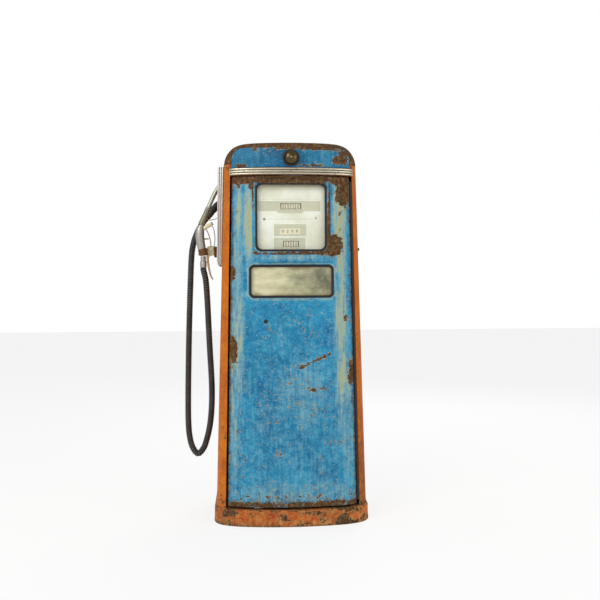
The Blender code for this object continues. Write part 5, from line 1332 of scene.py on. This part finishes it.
def makeNozzle():
    n = nozzle
    y = n["y"]
    swivel = [(0.0122, 0.0), (0.0148, 0.0015), (0.0152, 0.004), (0.0152, 0.027), (0.0146, 0.03), (0.0124, 0.0315),
              (0.0118, 0.033), (0.0118, 0.04), (0.0134, 0.0415), (0.0134, 0.0465), (0.012, 0.048),
              (0.0114, 0.05), (0.0114, 0.055)]
    piece = makePiece("swivelFitting", [turned(swivel, (wall - swivelOut, y, swivelFoot), (0, 0, 1), 32)],
                      "castSilver", "swivel", ["hose_swivel"])
    shade(piece, wear=lambda p: 0.5 * (1 - ease(0.001, 0.006, abs(p.z - 1.199))))
    collar = outward((0.0588, 1.224), (0.059, 1.2262), (0.0592, 1.23), (0.0596, 1.237), (0.06, 1.239),
                     (0.0604, 1.242), (0.0612, 1.247), (0.0622, 1.253), (0.063, 1.2562))
    makePiece("collarNut", [rod(collar, [0.015, 0.0205, 0.0224, 0.0224, 0.0204, 0.0206, 0.0222, 0.0216, 0.018],
              28)], "rustedIron", "nozzle")
    spine = outward(*n["body"])
    line = smoothLine(spine, 3)
    radii = smoothLine([(s[2], 0, 0) for s in n["body"]], 3)
    parts = [rod(line, [r.x for r in radii], 28)]
    ear = (wall - n["pivot"][0], 0, n["pivot"][1])
    for side in (-1, 1):
        low, high = sorted((y + side * 0.0048, y + side * 0.0085))
        parts.append(turned([(0.0066, low), (0.0074, low + 0.0006), (0.0074, high - 0.0006), (0.0066, high)], ear,
                            (0, 1, 0), 24))
    piece = makePiece("nozzleCasting", parts, "castSilver", "nozzle", ["nozzle_body"], sharp=45)
    shade(piece, wear=lambda p: 0.35 * ease(-0.405, -0.392, p.x) + 0.5 * (1 - ease(1.252, 1.268, p.z)))
    # packing gland along the arm towards the cabinet
    arm = outward((0.061, 1.347), (0.05, 1.3545), (0.042, 1.359), (0.039, 1.3607), (0.025, 1.369),
                  (0.019, 1.3724))
    makePiece("glandArm", [rod(arm, [0.008, 0.0096, 0.0096, 0.0088, 0.009, 0.0082], 24)], "cream", "nozzle")
    tip = outward((0.0186, 1.3726), (0.015, 1.3748), (0.0138, 1.3755))
    makePiece("glandNut", [rod(tip, [0.0078, 0.0078, 0.006], 6)], "darkIron", "nozzle", sharp=30)
    tube = smoothLine(outward(*n["spout"]), 5)
    joint = next(i for i, p in enumerate(tube) if p.z > 1.421)
    sleeve = tube[:joint]
    makePiece("spoutSleeve", [rod(sleeve, [0.0132] + [0.0138] * (len(sleeve) - 3) + [0.0134, 0.0122], 28),
              rod(tube[joint - 1:joint + 2], [0.0118, 0.0128, 0.0116], 28)], "sleeve", "nozzle")
    piece = makePiece("spoutTube", [rod(tube[joint - 1:], 0.0105, 28)], "spout", "nozzle", ["nozzle_spout"])
    shade(piece, wear=lambda p: 0.25 - 0.3 * ease(1.43, 1.5, p.z))
    guard = smoothLine(outward((0.0516, 1.3625), (0.03, 1.37), (0.01, 1.35), (0.004, 1.305), (0.008, 1.262),
                               (0.021, 1.2445), (0.04, 1.2435)), 6)
    makePiece("triggerGuard", [rod(guard, 0.005, 20, 0.42)], "spout", "nozzle", ["nozzle_guard"])
    out, pivot = n["pivot"]
    lever = smoothLine(outward((out, pivot - 0.003), (out - 0.012, pivot - 0.022), (0.027, n["stem"]), (0.0235, 1.28),
                               (0.0235, 1.262)), 6)
    pin = turned([(0.0022, y - 0.0092), (0.0022, y + 0.0092)], (ear[0], 0, ear[2] - 0.0006), (0, 1, 0), 16)
    makePiece("triggerLever", [rod(lever, 0.0046, 20, 0.55), pin], "spout", "trigger", ["nozzle_lever"])
    stem = [(0.0026, -0.065), (0.004, -0.064), (0.004, -0.05), (0.0034, -0.049), (0.0034, -0.033),
            (0.0024, -0.032)]
    makePiece("valveStem", [turned(stem, (wall, y, n["stem"]), (1, 0, 0), 24)], "brass", "valve", ["valve_stem"])


def makeHook():
    x = wall * shrink(1.39) - 0.0006
    line = smoothLine([(x - out, 0.009, z) for out, z in (
        (0.002, 1.3765), (0.0022, 1.39), (0.0045, 1.402), (0.017, 1.4032), (0.04, 1.396), (0.06, 1.3915),
        (0.07, 1.394), (0.0775, 1.3995))], 5)
    makePiece("nozzleHook", [rod(line, 0.004, 16, 0.48)], "brass", "cabinet", ["nozzle_hook"])


def makeOutlet():
    line = smoothLine(outletElbow(), 8)
    x = wall * shrink(outletAt[1])
    radii = [0.0158] * (len(line) - 5) + [0.0156, 0.017, 0.017, 0.017, 0.016]
    parts = [rod(line, radii, 28),
             turned([(0.015, x - 0.0095), (0.017, x - 0.009), (0.017, x - 0.004), (0.015, x - 0.0035)],
                    (0, *outletAt), (1, 0, 0), 6)]
    makePiece("outletElbow", parts, "darkIron", "cabinet", ["hose_outlet"])


switchLever = {"y": sidePanels["switchHole"][0], "z": sidePanels["switchHole"][1], "boss": 0.026, "thick": 0.01}


def makeSwitch():
    s = switchLever
    skinX = wall * shrink(s["z"])
    boss, face = skinX - 0.0009, wall - 0.009
    parts = [turned([(0.0075, skinX + 0.0034), (0.0075, boss), (s["boss"] - 0.001, boss), (s["boss"], boss - 0.001),
                     (s["boss"], face + 0.0012), (s["boss"] - 0.0014, face), (0.019, face), (0.018, face + 0.0006),
                     (0.0075, face + 0.0006), (0.0075, wall - 0.012)], (0, s["y"], s["z"]), (1, 0, 0), 40)]
    makePiece("switchBoss", parts, "rustedIron", "switch", ["switch_lever"], sharp=35)
    outline = ((0.0085, 0.028), (0.02, 0.0284), (0.033, 0.0278), (0.04, 0.0248), (0.0445, 0.018), (0.046, 0.006),
               (0.0462, -0.012), (0.0455, -0.03), (0.036, -0.031), (0.0335, -0.025), (0.029, -0.0195),
               (0.02, -0.017), (0.0085, -0.016))
    rings = []
    for side, grow in ((-1.0, 0.9), (-0.93, 0.97), (-0.8, 1.0), (0.8, 1.0), (0.93, 0.97), (1.0, 0.9)):
        rings.append([(wall - 0.027 - (out - 0.027) * grow, s["y"] + side * s["thick"],
                       s["z"] + 0.003 + (up - 0.003) * grow)
                      for out, up in outline])
    curl = smoothLine([(wall - out, s["y"], s["z"] + up) for out, up in (
        (0.0405, -0.02), (0.0398, -0.04), (0.0375, -0.06), (0.0345, -0.078), (0.0285, -0.105), (0.0225, -0.121),
        (0.017, -0.1275), (0.0135, -0.1285))], 5)
    radii = [0.0078 - 0.0042 * (i / (len(curl) - 1)) ** 1.3 for i in range(len(curl))]
    makePiece("switchHandle", [loft(rings), rod(curl, radii, 20, 0.8)], "cream", "switch", sharp=45)


crankArm = {"z": sidePanels["crankHole"][1], "throw": 0.066, "y": 0.0}


def makeCrank():
    c = crankArm
    x = -wall * shrink(c["z"]) + 0.0009
    tip = -wall * shrink(c["z"] - c["throw"]) + 0.0085
    hub = turned([(0.006, 0.1556), (0.006, x), (0.0112, x), (0.012, x + 0.0006), (0.012, x + 0.0024),
                  (0.0105, x + 0.0034), (0.009, x + 0.005), (0.009, tip - 0.0008), (0.008, tip)],
                 (0, c["y"], c["z"]), (1, 0, 0), 32)
    bars = []
    for dx, half in ((-0.006, 0.0062), (-0.0055, 0.007), (-0.0015, 0.007), (-0.001, 0.0062)):
        bar = rounded(c["y"], c["z"] - c["throw"] / 2 - 0.001, 2 * half, c["throw"] + 0.014, half * 0.98)
        bars.append([(tip + dx, y, z) for y, z in bar])
    low = (0, c["y"], c["z"] - c["throw"])
    pin = turned([(0.003, tip - 0.003), (0.003, tip + 0.0036)], low, (1, 0, 0), 20)
    makePiece("resetCrank", [hub, loft(bars), pin], "darkIron", "crank", ["reset_crank"], sharp=35)
    grip = [(0.0034, tip - 0.0006), (0.006, tip - 0.0006), (0.0067, tip + 0.001), (0.0074, tip + 0.005),
            (0.0074, tip + 0.0072), (0.0064, tip + 0.01), (0.005, tip + 0.0108), (0.001, tip + 0.011),
            (0.001, tip + 0.0042), (0.0034, tip + 0.004)]
    makePiece("crankGrip", [turned(grip, low, (1, 0, 0), 28, True)], "rubber", "grip", ["crank_grip"])


makeNozzle()
makeHook()
makeOutlet()
makeSwitch()
makeCrank()
print("nozzle, hook, outlet, switch and crank made")

# screws, bolts and louvres, grown from points
fastener = {"headRise": 0.45, "slotWide": 0.16, "sides": 20, "boltX": 0.3}
louvres = {"count": 11, "pitch": 0.024, "length": 0.34, "rise": 0.0045, "tall": 0.009, "low": 0.3, "high": 1.16}


def slottedHeadTree():
    # a domed head with one cut slot on every point, turned to the point's facing
    tree, given = newTree("slottedHeads", {"Rise": 0.45, "Slot Width": 0.16, "Sides": 20, "Material": None})
    ball = addNode(tree, "GeometryNodeMeshUVSphere", {"Segments": given["Sides"], "Rings": 10, "Radius": 1.0})
    low = addNode(tree, "CombineXYZ", {0: 1.0, 1: 1.0, 2: given["Rise"]})
    dome = addNode(tree, "GeometryNodeTransform", {"Geometry": ball, "Scale": low})
    slotSize = addNode(tree, "CombineXYZ", {0: 2.4, 1: given["Slot Width"], 2: 0.5})
    slot = addNode(tree, "GeometryNodeMeshCube", {"Size": slotSize})
    raised = addNode(tree, "CombineXYZ", {2: given["Rise"]})
    slot = addNode(tree, "GeometryNodeTransform", {"Geometry": slot, "Translation": raised})
    head = addNode(tree, "GeometryNodeMeshBoolean", {"Mesh 1": dome, "Mesh 2": slot}, operation="DIFFERENCE",
                   solver="EXACT")
    facing, size, spin = (addNode(tree, "GeometryNodeInputNamedAttribute", {"Name": layer}, data_type=kind)
                          for layer, kind in (("facing", "FLOAT_VECTOR"), ("size", "FLOAT"), ("spin", "FLOAT")))
    aim = addNode(tree, "FunctionNodeAlignRotationToVector", {"Vector": facing}, axis="Z")
    heads = addNode(tree, "GeometryNodeInstanceOnPoints", {"Points": given["Geometry"], "Instance": head,
                                                           "Rotation": aim, "Scale": size})
    spun = addNode(tree, "GeometryNodeRotateInstances", {"Instances": heads, "Local Space": True,
                                                         "Rotation": addNode(tree, "CombineXYZ", {2: spin})})
    return closeTree(tree, spun, given["Material"], smooth=False)


def louvreTree():
    # rows of pressed half-round ridges with rounded ends, stacked upwards from the first point
    tree, given = newTree("pressedLouvres", {"Count": 11, "Pitch": 0.024, "Lean": 0.0, "Length": 0.34,
                                             "Rise": 0.0045, "Tall": 0.009, "Material": None})
    barrel = addNode(tree, "GeometryNodeMeshCylinder", {"Vertices": 24, "Radius": 1.0, "Depth": given["Length"]})
    lying = addNode(tree, "GeometryNodeTransform", {"Geometry": barrel, "Rotation": (0, math.pi / 2, 0)})
    squashed = addNode(tree, "CombineXYZ", {0: 1.0, 1: given["Rise"], 2: given["Tall"]})
    blade = addNode(tree, "GeometryNodeTransform", {"Geometry": lying, "Scale": squashed})
    ball = addNode(tree, "GeometryNodeMeshUVSphere", {"Segments": 24, "Rings": 12, "Radius": 1.0})
    ballSize = addNode(tree, "CombineXYZ", {0: given["Tall"], 1: given["Rise"], 2: given["Tall"]})
    joined = addNode(tree, "GeometryNodeJoinGeometry", {0: blade})
    for share in (0.5, -0.5):
        reach = addNode(tree, "Math", {0: given["Length"], 1: share}, operation="MULTIPLY")
        place = addNode(tree, "CombineXYZ", {0: reach})
        feed(joined, {0: addNode(tree, "GeometryNodeTransform", {"Geometry": ball, "Translation": place,
                                                                 "Scale": ballSize})})
    step = addNode(tree, "CombineXYZ", {1: given["Lean"], 2: given["Pitch"]})
    origin = addNode(tree, "GeometryNodeSampleIndex", {"Geometry": given["Geometry"], "Index": 0,
                                                       "Value": addNode(tree, "GeometryNodeInputPosition")},
                     data_type="FLOAT_VECTOR", domain="POINT")
    rows = addNode(tree, "GeometryNodeMeshLine", {"Count": given["Count"], "Start Location": origin,
                                                  "Offset": step}, mode="OFFSET")
    return closeTree(tree, addNode(tree, "GeometryNodeInstanceOnPoints", {"Points": rows, "Instance": joined}),
                     given["Material"])


def pointBase(points, **layers):
    # a base of loose points that carry named vectors or numbers
    mesh = bpy.data.meshes.new("points")
    mesh.from_pydata([tuple(p) for p in points], [], [])
    for name, values in layers.items():
        if isinstance(values[0], float):
            mesh.attributes.new(name, "FLOAT", "POINT").data.foreach_set("value", values)
        else:
            flat = [c for vector in values for c in vector]
            mesh.attributes.new(name, "FLOAT_VECTOR", "POINT").data.foreach_set("vector", flat)
    return addObject("points", mesh)


def makeScrews():
    t, chance = trims, random.Random(4)
    heads = [((x, frontY(x, t["low"]) - t["proud"] + 0.0004, t["low"] + 1.5 * t["ridge"]), (x * 0.8, -1, 0), 0.0036)
             for x in (-0.212, 0.0, 0.214)]
    for i in range(7):
        z = 0.13 + 0.235 * i
        heads += [((side * (rearHalf(z) - 0.012), cabinet["back"] * shrink(z) + 0.0024, z), (0, 1, 0.08), 0.005)
                  for side in (-1, 1)]
    base = pointBase([h[0] for h in heads], facing=[Vector(h[1]).normalized() for h in heads],
                     size=[h[2] for h in heads], spin=[chance.uniform(0, 3.1) for _ in heads])
    piece = grow("slottedScrews", base, slottedHeadTree(), {
        "Rise": fastener["headRise"], "Slot Width": fastener["slotWide"], "Sides": fastener["sides"],
        "Material": looks["steel"]})
    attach(piece, "cabinet")
    # anchor bolts with domed heads through the skirt: one in front, two behind
    x, back = fastener["boltX"], (0, cabinet["back"] + plinth["proud"] - 0.0042, 0.04)
    spots = [((-x, bow(x) - plinth["proud"] + 0.0035, 0.046), (-0.42, -1, 0))]
    spots += [((side * x, back[1], back[2]), (0, 1, 0)) for side in (-1, 1)]
    profile = [(0.012, -0.002), (0.012, 0.0012), (0.0105, 0.0026), (0.006, 0.0036), (0.0015, 0.0039)]
    makePiece("skirtBolts", [turned(profile, place, Vector(slope).normalized(), 28) for place, slope in spots],
              "darkIron", "cabinet")


def makeLouvres():
    v = louvres
    lean = -cabinet["back"] * cabinet["taper"] * v["pitch"]
    for label, low in (("lower", v["low"]), ("upper", v["high"])):
        y = cabinet["back"] * shrink(low) + rearPanel["proud"] + cabinet["sheet"] - 0.0008
        piece = grow(label + "Louvres", pointBase([(0, y, low)]), louvreTree(), {
            "Count": v["count"], "Pitch": v["pitch"], "Lean": lean, "Length": v["length"], "Rise": v["rise"],
            "Tall": v["tall"], "Material": looks["blue"]})
        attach(piece, "cabinet")
        shade(piece, wear=lambda p: 0.12 + 0.2 * noise.noise(p * 9), fade=lambda p: 0.2, grime=lambda p: 0.1)


makeScrews()
makeLouvres()

# inner works keep their built shapes and only take finishes
finishes = {
    "hood": ["header_rail"], "darkIron": ["frame_left", "frame_right", "hinge_leaf_fixed", "hinge_leaf_door"],
    "castIron": ["bed_plate", "pump_unit", "meter_body", "motor_pulley", "pump_pulley", "register_frame"],
    "steel": ["register_shelf", "outlet_pipe", "inlet_pipe", "drive_shaft"],
    "pocket": ["nozzle_pocket", "door_latch"],
    "greyPaint": ["motor_body", "conduit_box", "motor_switch"], "rubber": ["drive_belt"], "cream": ["lamp_holder"],
    "opal": ["lamp_tube"], "glass": ["dial_glass"],
}
for label, names in finishes.items():
    for name in names:
        made = nodes[name].data.materials
        made.clear()
        made.append(looks[label])
print("inner works finished")
